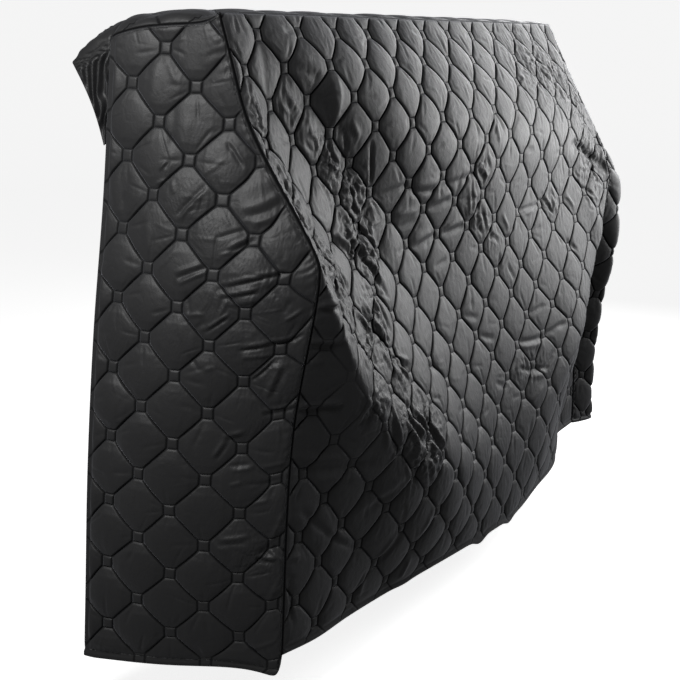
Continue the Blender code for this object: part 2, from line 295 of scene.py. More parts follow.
def along(x, y):
    return np.concatenate([[0.0], np.cumsum(np.hypot(np.diff(x), np.diff(y)))])


def unit(vectors):
    return vectors / np.maximum(np.linalg.norm(vectors, axis=-1, keepdims=True), 1e-12)


def mix(start, end, share):
    return start + (end - start) * share


def ease01(t):
    t = np.clip(t, 0.0, 1.0)
    return t * t * (3 - 2 * t)


class Surface:
    """The middle of a cloth, on a fine net over two shares from 0 to 1: p across it and q down it."""

    def __init__(self, points, outward):
        self.points = points
        self.normals = unit(np.cross(np.gradient(points, axis=0), np.gradient(points, axis=1)))
        self.flipped = float((self.normals.mean((0, 1)) * outward).sum()) < 0
        if self.flipped:
            self.normals = -self.normals
        self.reach_p = np.linalg.norm(np.diff(points, axis=0), axis=2).sum(0)   # cloth across, for each q
        self.reach_q = np.linalg.norm(np.diff(points, axis=1), axis=2).sum(1)   # cloth down, for each p

    def read(self, table, p, q):
        """A table's values at shares p and q."""
        rows, columns = table.shape[0] - 1, table.shape[1] - 1
        x = np.clip(p, 0, 1) * rows
        y = np.clip(q, 0, 1) * columns
        i = np.minimum(x.astype(int), rows - 1)
        j = np.minimum(y.astype(int), columns - 1)
        u, v = x - i, y - j
        if table.ndim == 3:
            u, v = u[..., None], v[..., None]
        return ((table[i, j] * (1 - u) + table[i + 1, j] * u) * (1 - v)
                + (table[i, j + 1] * (1 - u) + table[i + 1, j + 1] * u) * v)


def front_points():
    """Points over the front: p runs from the left seam to the right one, q from the top edge to the hem."""
    places = np.linspace(0.0, LENGTH, AT_SAMPLES)
    shares = np.linspace(0.0, 1.0, SHARE_SAMPLES)
    sizes = section(FRONT_COLUMNS, FRONT_SECTIONS, places)
    draw = section(DRAW_COLUMNS, SEAM_DRAW, shares)
    ease = np.array([1.0] + [RIDGE_EASE if knot == "ridge" else 1.0 for knot in FRONT_KNOTS])
    points = np.empty((AT_SAMPLES, SHARE_SAMPLES, 3))
    for i, at in enumerate(places):
        out = np.array([0.0] + [sizes[knot + "_out"][i] for knot in FRONT_KNOTS])
        drop = np.array([0.0] + [sizes[knot + "_drop"][i] for knot in FRONT_KNOTS])
        chord = along(out, drop)
        fine = np.linspace(0.0, chord[-1], PROFILE_SAMPLES)
        out = through(chord, out, fine, ease)
        drop = through(chord, drop, fine, ease)
        girth = along(out, drop)
        near_left = max(0.0, 1.0 - at / DRAW_REACH) ** 2
        near_right = max(0.0, 1.0 - (LENGTH - at) / DRAW_REACH) ** 2
        points[i, :, 0] = -LENGTH / 2 + at + draw["left"] * near_left - draw["right"] * near_right
        points[i, :, 1] = FRONT_Y - np.interp(shares * girth[-1], girth, out)
        points[i, :, 2] = TOP_LEVEL - np.interp(shares * girth[-1], girth, drop)
    return points


def side_points(seam, outward, sections, dips):
    """Points over a side: p runs from its back edge to the front seam, q down the seam."""
    dip = dict(zip(DIP_COLUMNS, dips))
    t = np.linspace(0.0, 1.0, DEPTH_SAMPLES)
    points = np.empty((DEPTH_SAMPLES, len(seam), 3))
    shares = np.linspace(0.0, 1.0, len(seam))
    sizes = section(SIDE_COLUMNS, sections, TOP_LEVEL - seam[:, 2])
    curl = BACK_CURL * np.maximum(0.0, 1 - t / BACK_CURL_SHARE) ** 2
    top_dip = dip["top_edge"] * (1 - t ** EDGE_FADE) + dip["top_corner"] * (1 - t) ** CORNER_FADE
    low_dip = (dip["hem"] + dip["hem_front"] * t ** HEM_FRONT_FADE) * (1 - t ** HEM_FADE)
    for k, (point, down) in enumerate(zip(seam, shares)):
        back_y = BACK_Y + sizes["back_lag"][k]
        mid_y = back_y + (point[1] - back_y) * SIDE_KNOTS[1]
        seam_out = outward * point[0] - LENGTH / 2
        outs = (sizes["back_out"][k], sizes["mid_out"][k], sizes["cheek_out"][k], seam_out)
        ys = (back_y, mid_y, point[1] + sizes["cheek_behind"][k], point[1])
        points[:, k, 0] = outward * (LENGTH / 2 + through(SIDE_KNOTS, outs, t) - curl)
        points[:, k, 1] = through(SIDE_KNOTS, ys, t)
        points[:, k, 2] = point[2] - top_dip * (1 - down) ** 3 - low_dip * down
    return points


def top_points(front_edge, left_edge, right_edge):
    """Points over the top: p runs along the length, q from the front edge to the back one."""
    v = np.linspace(0.0, 1.0, len(left_edge))[None, :, None]
    u = np.linspace(0.0, 1.0, len(front_edge))[:, None, None]
    left_back = np.array([left_edge[-1, 0], left_edge[-1, 1], TOP_LEVEL])
    right_back = np.array([right_edge[-1, 0], right_edge[-1, 1], TOP_LEVEL])
    left_dip = left_edge[None] - mix(front_edge[0], left_back, v)
    right_dip = right_edge[None] - mix(front_edge[-1], right_back, v)
    level = mix(front_edge[:, None], mix(left_back, right_back, u), v)
    return level + left_dip * (1 - u) ** TOP_FADE + right_dip * u ** TOP_FADE


def corner_strip(back_edge, outward, spots):
    """The flap's seam, hem and roll beside a side's back edge."""
    corner, end = back_edge[0], back_edge[-1]
    share = ((corner[2] - spots[:, 2]) / (corner[2] - end[2]))[:, None]
    tip = corner + np.array([outward * TIP_OUT, TIP_BACK, -TIP_FALL])
    last = end + np.array([0.0, FLAP_END, -FLAP_END])
    hem = mix(tip, last, share)
    hem[:, 1] -= FREE_EDGE_SAG * np.sin(np.pi * share[:, 0])
    return spots, hem, np.zeros(len(spots))


def flap_points(left_back, back_edge, right_back):
    """Points over the flap: p runs along its seam from the left side's back edge to the right one's,
    q from the seam to the hem."""
    u = np.linspace(0.0, 1.0, len(back_edge))
    near_left, near_right = (1 - u) ** TIP_FADE, u ** TIP_FADE
    tip = near_left + near_right
    reach = np.stack([TIP_OUT * (near_right - near_left), mix(FLAP_BACK, TIP_BACK, tip),
                      -mix(FLAP_FALL, TIP_FALL, tip)], 1)
    parts = (corner_strip(left_back, -1, left_back[:0:-1]),
             (back_edge, back_edge + reach, np.full(len(back_edge), FLAP_ROLL)),
             corner_strip(right_back, 1, right_back[1:]))
    seam, hem, roll = (np.concatenate(pieces) for pieces in zip(*parts))
    w = np.linspace(0.0, 1.0, FLAP_SAMPLES)[None, :, None]
    points = mix(seam[:, None], hem[:, None], w)
    lift = roll[:, None] * np.sin(np.pi * w[..., 0])
    points[..., 1] += FLAP_ROLL_WAY[0] * lift
    points[..., 2] += FLAP_ROLL_WAY[1] * lift
    return points


# ---- steady roughness ----
def hashed(i, j, seed):
    """A steady number from 0 to 1 for each pair of whole numbers."""
    n = (np.asarray(i).astype(np.int64) * 374761393 + np.asarray(j).astype(np.int64) * 668265263
         + seed * 144665) & 0xFFFFFFFF
    n = ((n ^ (n >> 13)) * 1274126177) & 0xFFFFFFFF
    return ((n ^ (n >> 16)) & 0xFFFFFF) / float(0x1000000)


def rough(x, y, seed):
    """Smooth noise from -1 to 1."""
    i, j = np.floor(x), np.floor(y)
    u, v = ease01(x - i), ease01(y - j)
    near = hashed(i, j, seed) * (1 - u) + hashed(i + 1, j, seed) * u
    far = hashed(i, j + 1, seed) * (1 - u) + hashed(i + 1, j + 1, seed) * u
    return 2 * (near * (1 - v) + far * v) - 1


# ---- quilted relief: a and b count lattice steps across and down ----
def cell_of(a, b):
    """A place counted along both diagonals, and the diamond that it lies in."""
    r, s = (a + b) / 2, (a - b) / 2
    return r, s, np.floor(r + 1e-9), np.floor(s + 1e-9)


def nearest_square(a, b):
    """A place counted along both diagonals, its nearest lines, and its way from the square on both."""
    r, s = (a + b) / 2, (a - b) / 2
    m, n = np.round(r), np.round(s)
    return r, s, m, n, a - (m + n), b - (m - n)


def stitched(a, b, seed, kind):
    """How far the outer face stands off its stitching, in metres, and how full the diamond is there."""
    r, s, i, j = cell_of(a, b)
    f, g = r - i, s - j
    f = np.clip(f + DIAMOND_LEAN * (hashed(i, j, seed) - 0.5) * 4 * f * (1 - f), 0, 1)
    g = np.clip(g + DIAMOND_LEAN * (hashed(i, j, seed + 1) - 0.5) * 4 * g * (1 - g), 0, 1)
    pillow = np.maximum(16 * f * (1 - f) * g * (1 - g), 0.0) ** FULLNESS[kind]
    x, y = nearest_square(a, b)[4:]
    away = np.maximum(abs(x), abs(y))
    full = pillow * np.sqrt(np.clip((away - SQUARE) / SQUARE_SLOPE, 0, 1))
    puff = PUFF[kind] * (FILL_LEAST + FILL_SPREAD * hashed(i, j, seed + 2)) * full
    small = np.sqrt(np.clip(1 - (x / SQUARE) ** 2, 0, 1) * np.clip(1 - (y / SQUARE) ** 2, 0, 1))
    thread = np.exp(-(full / STITCH_WIDTH) ** 2) * (away > SQUARE * STITCH_START)
    return puff + SMALL_PUFF * small * (away < SQUARE) - STITCH_PULL * thread, full


def puckers(a, b, seed):
    """Small folds that run into each diamond from its corners and its stitching."""
    r, s, i, j = cell_of(a, b)
    total = np.zeros_like(a)
    for k, (dr, ds) in enumerate(((0, 0), (1, 1), (1, 0), (0, 1))):
        x, y = (i + dr) + (j + ds), (i + dr) - (j + ds)
        dx, dy = i + j + 1 - x, i - j - y
        for turn in range(PUCKERS):
            key = seed + 11 * k + 5 * turn
            angle = (hashed(i, j, key) - 0.5) * PUCKER_TURN
            ux = dx * np.cos(angle) - dy * np.sin(angle)
            uy = dx * np.sin(angle) + dy * np.cos(angle)
            ahead = (a - x) * ux + (b - y) * uy
            aside = (a - x) * uy - (b - y) * ux
            aside = aside + PUCKER_BEND * (hashed(i, j, key + 1) - 0.5) * ahead ** 2
            reach = PUCKER_REACH[0] + PUCKER_REACH[1] * hashed(i, j, key + 2)
            width = PUCKER_WIDTH[0] + PUCKER_WIDTH[1] * hashed(i, j, key + 3)
            depth = (hashed(i, j, key + 4) - PUCKER_PROUD) * PUCKER_DEPTH
            fade = ease01((ahead - PUCKER_START) / PUCKER_START) * ease01((reach - ahead) / PUCKER_END)
            total -= depth * fade * np.exp(-(aside / width) ** 2)
    return total


def ripples(a, b, seed):
    """Gathers along the diagonal lines, dying away from them."""
    r, s = cell_of(a, b)[:2]
    step = HALF * np.sqrt(2)
    total = np.zeros_like(a)
    for line, travel, key in ((r, s, seed), (s, r, seed + 7)):
        whole = np.round(line)
        near = abs(line - whole) * step / RIPPLE_REACH
        side = np.sign(line - whole)
        sway = RIPPLE_SWAY * rough(travel * RIPPLE_CHANGES[0], whole * 5 + side, key)
        swell = 0.5 + 0.5 * rough(travel * RIPPLE_CHANGES[1], whole * 3 + side * 0.5, key + 1)
        turns = travel * step / RIPPLE_LENGTH + sway
        total += np.sin(2 * np.pi * turns) * swell * near * np.exp(1 - near) * RIPPLE_HEIGHT
    return total


def creases(a, b, lines):
    """Listed folds: each runs between two places, and stands proud or lies deep."""
    total = np.zeros_like(a)
    for a0, b0, a1, b1, wide, high in lines:
        wide, high = wide / 1000, high / 1000
        x, y = (a - a0) * HALF, (b - b0) * HALF
        dx, dy = (a1 - a0) * HALF, (b1 - b0) * HALF
        length = np.hypot(dx, dy)
        ahead = (x * dx + y * dy) / length
        aside = (x * dy - y * dx) / length
        end = min(CREASE_END[0] * length, CREASE_END[1] * wide)
        fade = ease01((ahead + end) / (2 * end)) * ease01((length - ahead + end) / (2 * end))
        total += high * fade * np.exp(-(aside / (CREASE_WIDTH * wide)) ** 2)
    return total


def crumple(a, b, seed):
    """Sharp little folds in every direction, some proud and some deep."""
    near_a, near_b = a / CRUMPLE_BEND_STEP, b / CRUMPLE_BEND_STEP
    x = a + CRUMPLE_BEND * rough(near_a, near_b, seed + 2)
    y = b + CRUMPLE_BEND * rough(near_a + 9, near_b, seed + 3)
    deep = abs(rough(x / CRUMPLE_DEEP[0], y / CRUMPLE_DEEP[1], seed))
    proud = abs(rough(x / CRUMPLE_PROUD[0] + 5, y / CRUMPLE_PROUD[1], seed + 1))
    return deep - CRUMPLE_PROUD_SHARE * proud


def crinkles(travel, distance, seed):
    """Small folds that run out from a seam that draws its cloth in."""
    turns = travel / CRINKLE_LENGTH + CRINKLE_SWAY[0] * rough(travel / CRINKLE_SWAY[1], travel * 0, seed)
    swell = 0.5 + 0.5 * rough(travel / CRINKLE_SWELL, travel * 0 + 4, seed + 1)
    fade = ease01((distance - CRINKLE_START[0]) / CRINKLE_START[1]) * np.exp(-distance / CRINKLE_REACH)
    return CRINKLE_HEIGHT * np.sin(2 * np.pi * turns) * swell * fade


def border(height, distance, kind):
    """The outer face's height, turned into the shape of an edge near it."""
    knots, levels, start, rise = EDGE_SHAPES[kind]
    return mix(np.interp(distance, knots, levels), height, ease01((distance - start) / rise))


def spare_cloth(a, b, everywhere, spots):
    """How much longer the cloth is than the way between its stitches, across and down: a little
    everywhere, and more at the places where it is gathered."""
    uneven = 1 + 0.5 * rough(a / SPARE_STEP, b / SPARE_STEP, 515)
    across, down = everywhere[0] * uneven, everywhere[1] * uneven
    for a0, b0, wide, tall, more_across, more_down in spots:
        near = np.exp(-((a - a0) / wide) ** 2 - ((b - b0) / tall) ** 2)
        across = across + more_across * near
        down = down + more_down * near
    return across, down


# ---- listed folds: from a, b to a, b in lattice steps, then width and height in millimetres ----
FRONT_FOLDS = (
    (0.1, 0.7, 3.1, 2.7, 30, -7), (3.1, 2.7, 4.3, 5.2, 26, -7), (4.3, 5.2, 5.6, 7.6, 22, -4),
    (2.2, 1.6, 2.6, 3.2, 26, -5), (-1.2, 1.6, -0.2, 4.2, 20, 4), (-0.2, 4.2, 1.2, 7.4, 22, 4),
    (19.9, 4.9, 21.4, 5.1, 12, -6), (21.2, 5.2, 23.4, 6.3, 14, -11), (21.2, 6.6, 22.3, 9.8, 30, 6),
)
FRONT_CREASES = (
    # upper left, under the top edge
    (0, 0.3, -0.1, 1.7, 12, -2.5), (1.2, 0.9, 2.4, 1.4, 9, -2.4), (0.9, 1.85, 1.35, 2.15, 6, 3),
    (0.5, 2.05, 0.85, 2.3, 5, 1.8), (0.7, 1.5, 1, 1.75, 5, 1.6), (3, 1.3, 3.2, 3, 12, 5),
    (1.85, 2.9, 2.15, 3.05, 5, 3), (2.15, 3.05, 2.25, 3.4, 5, 2.6), (1.6, 3.2, 1.9, 3.45, 5, -1.8),
    (3.9, 2.8, 4.2, 3.25, 6, 2.6), (3.6, 3.1, 3.8, 3.5, 5, -1.8), (4.8, 3.5, 5, 4.7, 4.5, -4),
    # the crumpled run down to the keyboard
    (2.7, 3.6, 2.95, 4, 5, 3), (3, 4.2, 3.4, 4.55, 6, -3.4), (3.1, 3.5, 3.35, 3.95, 5, 2.6),
    (2.9, 4, 3.3, 4.05, 5, 2.8), (3.5, 4.8, 3.9, 4.55, 5, 3), (3.8, 4.8, 4.2, 5.1, 6, -3.4),
    (4, 5.2, 4.15, 5.6, 5, 3), (3.7, 5.2, 3.9, 5.5, 5, -2.4), (2.1, 6.1, 3, 6.7, 7, -3.6),
    (2.4, 6, 3.1, 6.4, 5, 2), (4, 5.9, 5, 7.1, 6, -3.6), (4.2, 5.9, 5.1, 7, 5, 3),
    (3.9, 6.2, 4.7, 7.2, 5, 2.4), (4.15, 7.6, 4.75, 8.2, 5, -2.8), (4.3, 7.4, 4.8, 7.9, 5, 2.6),
    (3.9, 8.2, 4.3, 9.4, 6, -3.6), (3.2, 9.3, 4.7, 10.9, 6, -3), (4.15, 10.2, 4.9, 10.45, 5, 3.8),
    (4.3, 10.45, 5, 10.7, 6, -3.6), (4.4, 10.7, 4.7, 11.1, 5, 2.8),
    # over the corner of the keyboard
    (-0.9, 6.2, -0.2, 6.9, 5, 2), (-0.6, 6.6, 0.3, 7.5, 5, -2.2), (-0.2, 6.4, 0.5, 7.1, 5, 2.2),
    (0.3, 7.4, 1.1, 8.3, 5, -2.4), (0.6, 7.1, 1.4, 7.9, 5, 2), (-0.8, 7.3, -0.3, 8.1, 6, 3.4),
    (-0.3, 8.1, -0.6, 8.9, 6, 2.6), (0.8, 10.75, 1.05, 11, 5, 3.4), (1.05, 11, 0.75, 11.5, 6, 3),
    (1.1, 11.05, 1.7, 11.2, 6, 2.6), (1.9, 11.1, 2.5, 11.3, 6, 3), (2.1, 12.1, 2.3, 12.7, 6, 3),
    (3.05, 12.7, 2.65, 13.3, 6, 3.4), (3.4, 12.2, 3.9, 13, 6, 4), (3.9, 13, 3.6, 13.5, 6, 3.4),
    (2.6, 11.7, 2.85, 12.6, 5, 4), (2.35, 11.8, 2.6, 12.7, 5, -3.4), (3.4, 12.3, 3.9, 12.9, 5, 4.6),
    (3.9, 12.9, 3.8, 13.4, 5, 4.2), (3.6, 12.1, 4.2, 12.8, 5, -4.4), (3.9, 12, 4.6, 12.9, 5, 4.4),
    (4.4, 12.2, 5, 13.1, 5, -4.4), (4.7, 12.3, 5.3, 13.3, 5, 4.2), (5, 12.3, 5.6, 13.4, 5, -4),
    (5, 13.2, 5.8, 14.2, 5, 4.2), (5.25, 13.1, 6, 14.1, 5, -4), (5.4, 12.8, 6.1, 13.8, 5, 3.6),
    (4.7, 13.5, 5.5, 14.5, 5, -3.8), (3.4, 13.6, 3.9, 14.2, 6, 3.2),
    # along the ridge
    (2.6, 8.4, 3.4, 9.6, 5, -3.4), (2.9, 8.3, 3.7, 9.5, 5, 3.2), (3.3, 9.6, 4.3, 10.9, 5, -3.4),
    (3.6, 9.6, 4.6, 10.9, 5, 3.2), (3, 9.8, 3.9, 11, 5, 2.8), (1.9, 8.3, 2.6, 9.4, 5, 2.8),
    (1.3, 6.6, 2.1, 7.7, 5, -2.8), (1, 6.4, 1.7, 7.5, 5, 2.8), (2.9, 6.1, 3.6, 6.9, 5, -3.6),
    (3.1, 5.9, 3.9, 6.8, 5, 3.4), (3.5, 6.7, 4.3, 7.6, 5, -3.8), (3.7, 6.6, 4.5, 7.5, 5, 3.4),
    (4.5, 13.5, 5, 14.6, 6, -3), (4, 13.6, 4.3, 14, 6, 3.4), (4.2, 13.9, 4, 14.4, 6, -2.8),
    # the left end, below the keyboard
    (-1.5, 7.8, -0.7, 7.8, 4.5, 5), (-1.5, 7.95, -0.7, 7.95, 4.5, -5), (-1.6, 8.9, -0.7, 8.9, 4.5, 5),
    (-1.6, 9.05, -0.8, 9.05, 4.5, -5), (-1.5, 9.5, -1.1, 9.5, 5, 1.8), (-1.6, 10.85, -0.2, 10.8, 4.5, 4.8),
    (-1.6, 11, -0.2, 10.95, 5, -5), (-1.2, 12.85, 1.8, 13.1, 10, -2.6), (-1, 12.55, 1.4, 12.8, 9, 2.2),
    (-0.7, 13.3, 1.8, 13.5, 10, 2.4), (-1.5, 13.6, -0.9, 13, 7, 2.6), (1.7, 14.6, 3.3, 14, 9, 2.8),
    (2.1, 14.8, 3.5, 14.3, 8, -2.8), (3.1, 14.4, 4.1, 14.1, 8, 2.6), (-1, 14.2, 0.3, 15.2, 7, -3.6),
    (0.3, 15.2, 1.7, 16, 7, -3.6), (0.2, 15, 1.5, 15.7, 8, 2), (3.9, 16, 3, 16.8, 7, 3.4),
    (4.1, 16.2, 3.3, 16.9, 6, -3), (5.6, 15.6, 5.2, 16.4, 7, 2.6), (4.95, 17.4, 4.7, 18.1, 7, 3),
    (2.5, 17.3, 2.4, 18, 7, 2.6), (-1.4, 15.5, -1, 15.6, 5, 2.6), (-1.4, 16.2, -1.2, 17.6, 5, -3.4),
    # across the middle
    (5.3, 5.2, 7, 5, 6, -3.4), (7.2, 5.35, 8.7, 5.45, 6, -3.8), (8.9, 5.4, 11.2, 5.2, 6, -3.4),
    (7.2, 5.1, 8.6, 5.15, 7, 1.8), (6.3, 5.9, 7.5, 6, 7, 2.2), (8.4, 6.05, 9.6, 5.9, 6, -3.6),
    (8.5, 5.75, 9.6, 5.65, 6, 2.4), (6.5, 6.4, 7.4, 6.3, 6, -2.4), (7.4, 7.25, 8.8, 7, 6, -3.6),
    (7.5, 6.95, 8.5, 6.85, 7, 2.2), (9.4, 7.05, 10.7, 6.95, 6, -3.8), (9.5, 6.8, 10.6, 6.7, 6, 2.2),
    (8.7, 8.1, 9.5, 8, 6, -2.6), (6.6, 11.1, 7.5, 11.3, 7, -2.6), (10.3, 10.1, 11.2, 10.4, 7, -2.2),
    (11.3, 11.1, 12.2, 11.4, 7, -2.6),
    # crumpled diamonds right of the middle
    (11.45, 5.1, 11.9, 5.5, 4.5, -2.2), (11.6, 4.95, 12.1, 5.35, 4.5, 2.1),
    (11.7, 5.5, 12.2, 5.3, 4.5, 1.9), (12, 4.7, 12.3, 5.1, 4.5, -1.5), (10.8, 5.6, 11, 6.5, 4.5, 2.1),
    (11, 5.6, 11.2, 6.4, 4.5, -1.9), (11.3, 5.8, 11.4, 6.3, 4.5, 1.6), (11.7, 6.6, 12, 7.2, 4.5, 2.2),
    (11.9, 6.5, 12.3, 7.3, 4.5, -2.1), (12.2, 6.6, 12.4, 7.2, 4.5, 1.9), (11.6, 7.1, 12.1, 7.5, 4.5, -1.7),
    (12.6, 7.6, 13.1, 7.8, 6, -2.6), (13.2, 8.4, 13.25, 8.9, 5, -3.4), (13.6, 7, 14, 7.5, 5, 2.6),
    (14, 7.75, 14.7, 7.5, 5, 2.6), (13.8, 8.9, 14.3, 9.5, 6, -2.6), (12.6, 3.2, 12.9, 4.2, 6, 2.4),
    (12.9, 3, 13.3, 3.8, 6, -2.2),
    # right
    (15.05, 6.95, 16.2, 6.95, 5, -4.2), (15.1, 7.15, 16.2, 7.1, 6, 2.2), (16.3, 7.05, 17.6, 6.8, 5, -3.8),
    (16.1, 7.9, 16.8, 7.85, 5, -2.6), (15.2, 4.7, 15.9, 4.7, 5, -2.6), (17.4, 6.7, 17.9, 7.1, 5, 3),
    (17.5, 7, 18, 7.4, 5, -3), (18.1, 6.9, 18.5, 7.5, 5, 2.6), (18.9, 8.7, 19.5, 9.2, 5, -3.4),
    (15.2, 11, 16.2, 10.9, 5, -3), (14.2, 11.95, 15.9, 12.1, 6, -4.6), (14.3, 12.15, 15.8, 12.3, 6, 2.4),
    (16.1, 12.1, 17.6, 11.95, 6, -4.2), (13.9, 12.9, 14.8, 13.2, 6, -3.6), (14.8, 13.2, 15.8, 13.3, 6, -4),
    (15.8, 13.3, 16.7, 12.8, 6, -3.4), (14.9, 13.45, 15.7, 13.5, 7, 2.8), (12, 13, 12.8, 13.4, 6, -3),
    (14.5, 14.4, 15.3, 14, 6, 2.6), (17.6, 13.6, 18.5, 13.3, 6, -3), (20.3, 4.7, 20.9, 5.1, 6, -4.6),
    (20.9, 5.1, 21.6, 5.2, 6, -4.6), (20.5, 5.2, 21.4, 5.5, 6, 3), (21.6, 5.4, 22.5, 5.7, 6, -4.8),
    (21.6, 5.75, 22.6, 6.05, 6, 3.4), (21.8, 6.1, 22.7, 6.3, 6, -3.6), (21.9, 6.5, 22.7, 6.6, 6, 2.8),
    (20.8, 6.8, 21.7, 7.2, 5, -2.8), (21.3, 6.9, 22, 7.5, 5, 2.6), (19.4, 6.9, 19.9, 7.4, 5, 2.4),
    (16.1, 2.2, 16.7, 1.9, 5, 2.2), (18.9, 1.6, 19.4, 2.2, 5, -2.6), (19.6, 2.3, 20.1, 3, 5, -2.6),
    (20, 1.4, 20.2, 2.2, 5, 2.4), (20.6, 2.6, 21.2, 3.3, 5, -2.6),
)
LEFT_CREASES = (
    (1.45, 2.6, 1.45, 3.7, 7, -2), (1.85, 2.9, 1.8, 3.8, 9, 2), (0.8, 1.5, 0.75, 2.7, 9, 1.8),
    (1.1, 1.3, 1.45, 1.9, 5, 1.2), (1.3, 0.8, 1.6, 0.75, 3, 1), (3, 3.5, 3.45, 4.1, 3.5, -2),
    (3.1, 3.45, 3.5, 4, 3, 1.2), (2.4, 4.4, 2.9, 4, 4, 1.6), (1.85, 5.5, 2.5, 4.7, 4, -2.2),
    (1.9, 5.6, 2.6, 4.75, 4, 1.8), (1.6, 4.6, 1.7, 4.9, 4, 1.4), (1.2, 4.3, 1.35, 4.1, 3, 2),
    (1.35, 4.25, 1.45, 4.1, 3, -2), (1.1, 4.7, 1.4, 4.6, 3, 2), (3.05, 6, 3.7, 5.75, 3.5, -2.2),
    (3.45, 6.35, 4, 6, 3.5, -2.6), (3.4, 6.2, 3.9, 5.9, 3.5, 2), (3.2, 6.45, 3.6, 6.3, 3.5, 1.4),
    (3.6, 5.2, 4.6, 4.9, 6, 2), (3.7, 5.4, 4.7, 5.1, 5, -1.8), (3.9, 5.6, 4.9, 5.25, 5, 2),
    (2.05, 7.15, 2.8, 6.8, 3.5, -2.6), (2, 7, 2.7, 6.7, 3.5, 2.2), (2.1, 7.3, 2.75, 6.95, 3.5, 2),
    (1.4, 7, 1.9, 6.4, 5, 1.4), (3.35, 7.3, 5, 6.85, 3.5, -3), (3.3, 7.2, 4.9, 6.75, 4, 2.2),
    (3.35, 7.5, 4.2, 7.3, 3.5, 3), (3.4, 7.6, 4.3, 7.4, 3.5, -2.6), (3.6, 7.75, 4.3, 7.6, 4, 2.2),
    (2.3, 7.6, 2.4, 8.1, 4, -2), (2.3, 8.2, 2.8, 8.1, 3.5, 2.2), (2.9, 8.6, 3.5, 8.15, 3.5, -2.8),
    (2.95, 8.5, 3.5, 8.05, 3.5, 2.6), (2.6, 8.55, 2.9, 8.3, 4, -2), (3.3, 8.1, 3.5, 7.6, 4, 2.2),
    (5.1, 8.1, 5.5, 7.9, 3.5, 2.2), (5.05, 7.9, 5.2, 7.6, 4, -2), (3.9, 9.05, 5.5, 8.7, 3.5, -2.8),
    (4, 8.9, 5.4, 8.6, 4, 2.2), (4, 9.25, 4.7, 9.15, 4, 2), (4.25, 9.95, 4.8, 9.4, 3.5, -2.8),
    (4.3, 9.8, 4.75, 9.3, 3.5, 2.4), (4.65, 10.4, 5, 9.45, 5, 2.4), (4.8, 10.4, 5.15, 9.6, 5, -2.2),
    (2.45, 9.35, 2.7, 9.7, 3.5, -2.2), (2.9, 9.7, 3.2, 9.6, 3.5, 1.4), (4.6, 10.95, 5.5, 10.9, 3.5, -2.2),
    (4.6, 10.8, 5.5, 10.75, 3.5, 1.8), (3.5, 11.6, 4, 11.45, 3.5, 2.4), (3.5, 11.75, 4, 11.6, 3.5, -1.8),
    (3.2, 12.2, 3.5, 11.7, 3.5, 2.2), (3.3, 12.3, 3.6, 11.8, 3.5, -2), (3.7, 12.5, 4.2, 12.45, 3.5, -2.4),
    (3.8, 12.65, 4.3, 12.55, 3.5, 2), (4.5, 12.55, 5.3, 12.5, 4, 1.6), (3.7, 13.1, 4, 13, 3.5, 1.8),
    (4.2, 13.05, 5.1, 13.05, 4, -1.8), (4.2, 13.7, 4.8, 13.55, 4, 1.8), (3.5, 14.75, 4.25, 14.65, 4, 2.4),
    (3.5, 14.9, 4.2, 14.85, 4, -1.8), (3.1, 14.8, 3.6, 15.1, 5, 1.4), (4.9, 14.9, 5.2, 14.2, 5, 2),
    (4.55, 15.3, 5, 15.45, 3.5, 3), (4.55, 15.45, 5, 15.6, 3.5, -2.4), (4.85, 15.15, 5.25, 15.6, 3.5, 2.8),
    (5, 15.1, 5.4, 15.5, 3.5, -2.4), (4.9, 16.9, 5.1, 16.3, 5, 2), (4.2, 18.35, 5.1, 18.15, 4, 2),
    (4.25, 18.2, 4.8, 18.9, 4, -1.8), (0, 4.5, 0.1, 5.6, 12, -2), (-0.7, 4.7, -0.5, 5.4, 8, -2.4),
    (-0.7, 7.1, -0.5, 7.5, 6, 2.4), (0.9, 5.7, 1.1, 6.6, 8, 1.6), (1.4, 2, 2, 1.6, 12, 1.4),
    (2.9, 0.2, 3.1, 1.5, 10, -1.4),
)

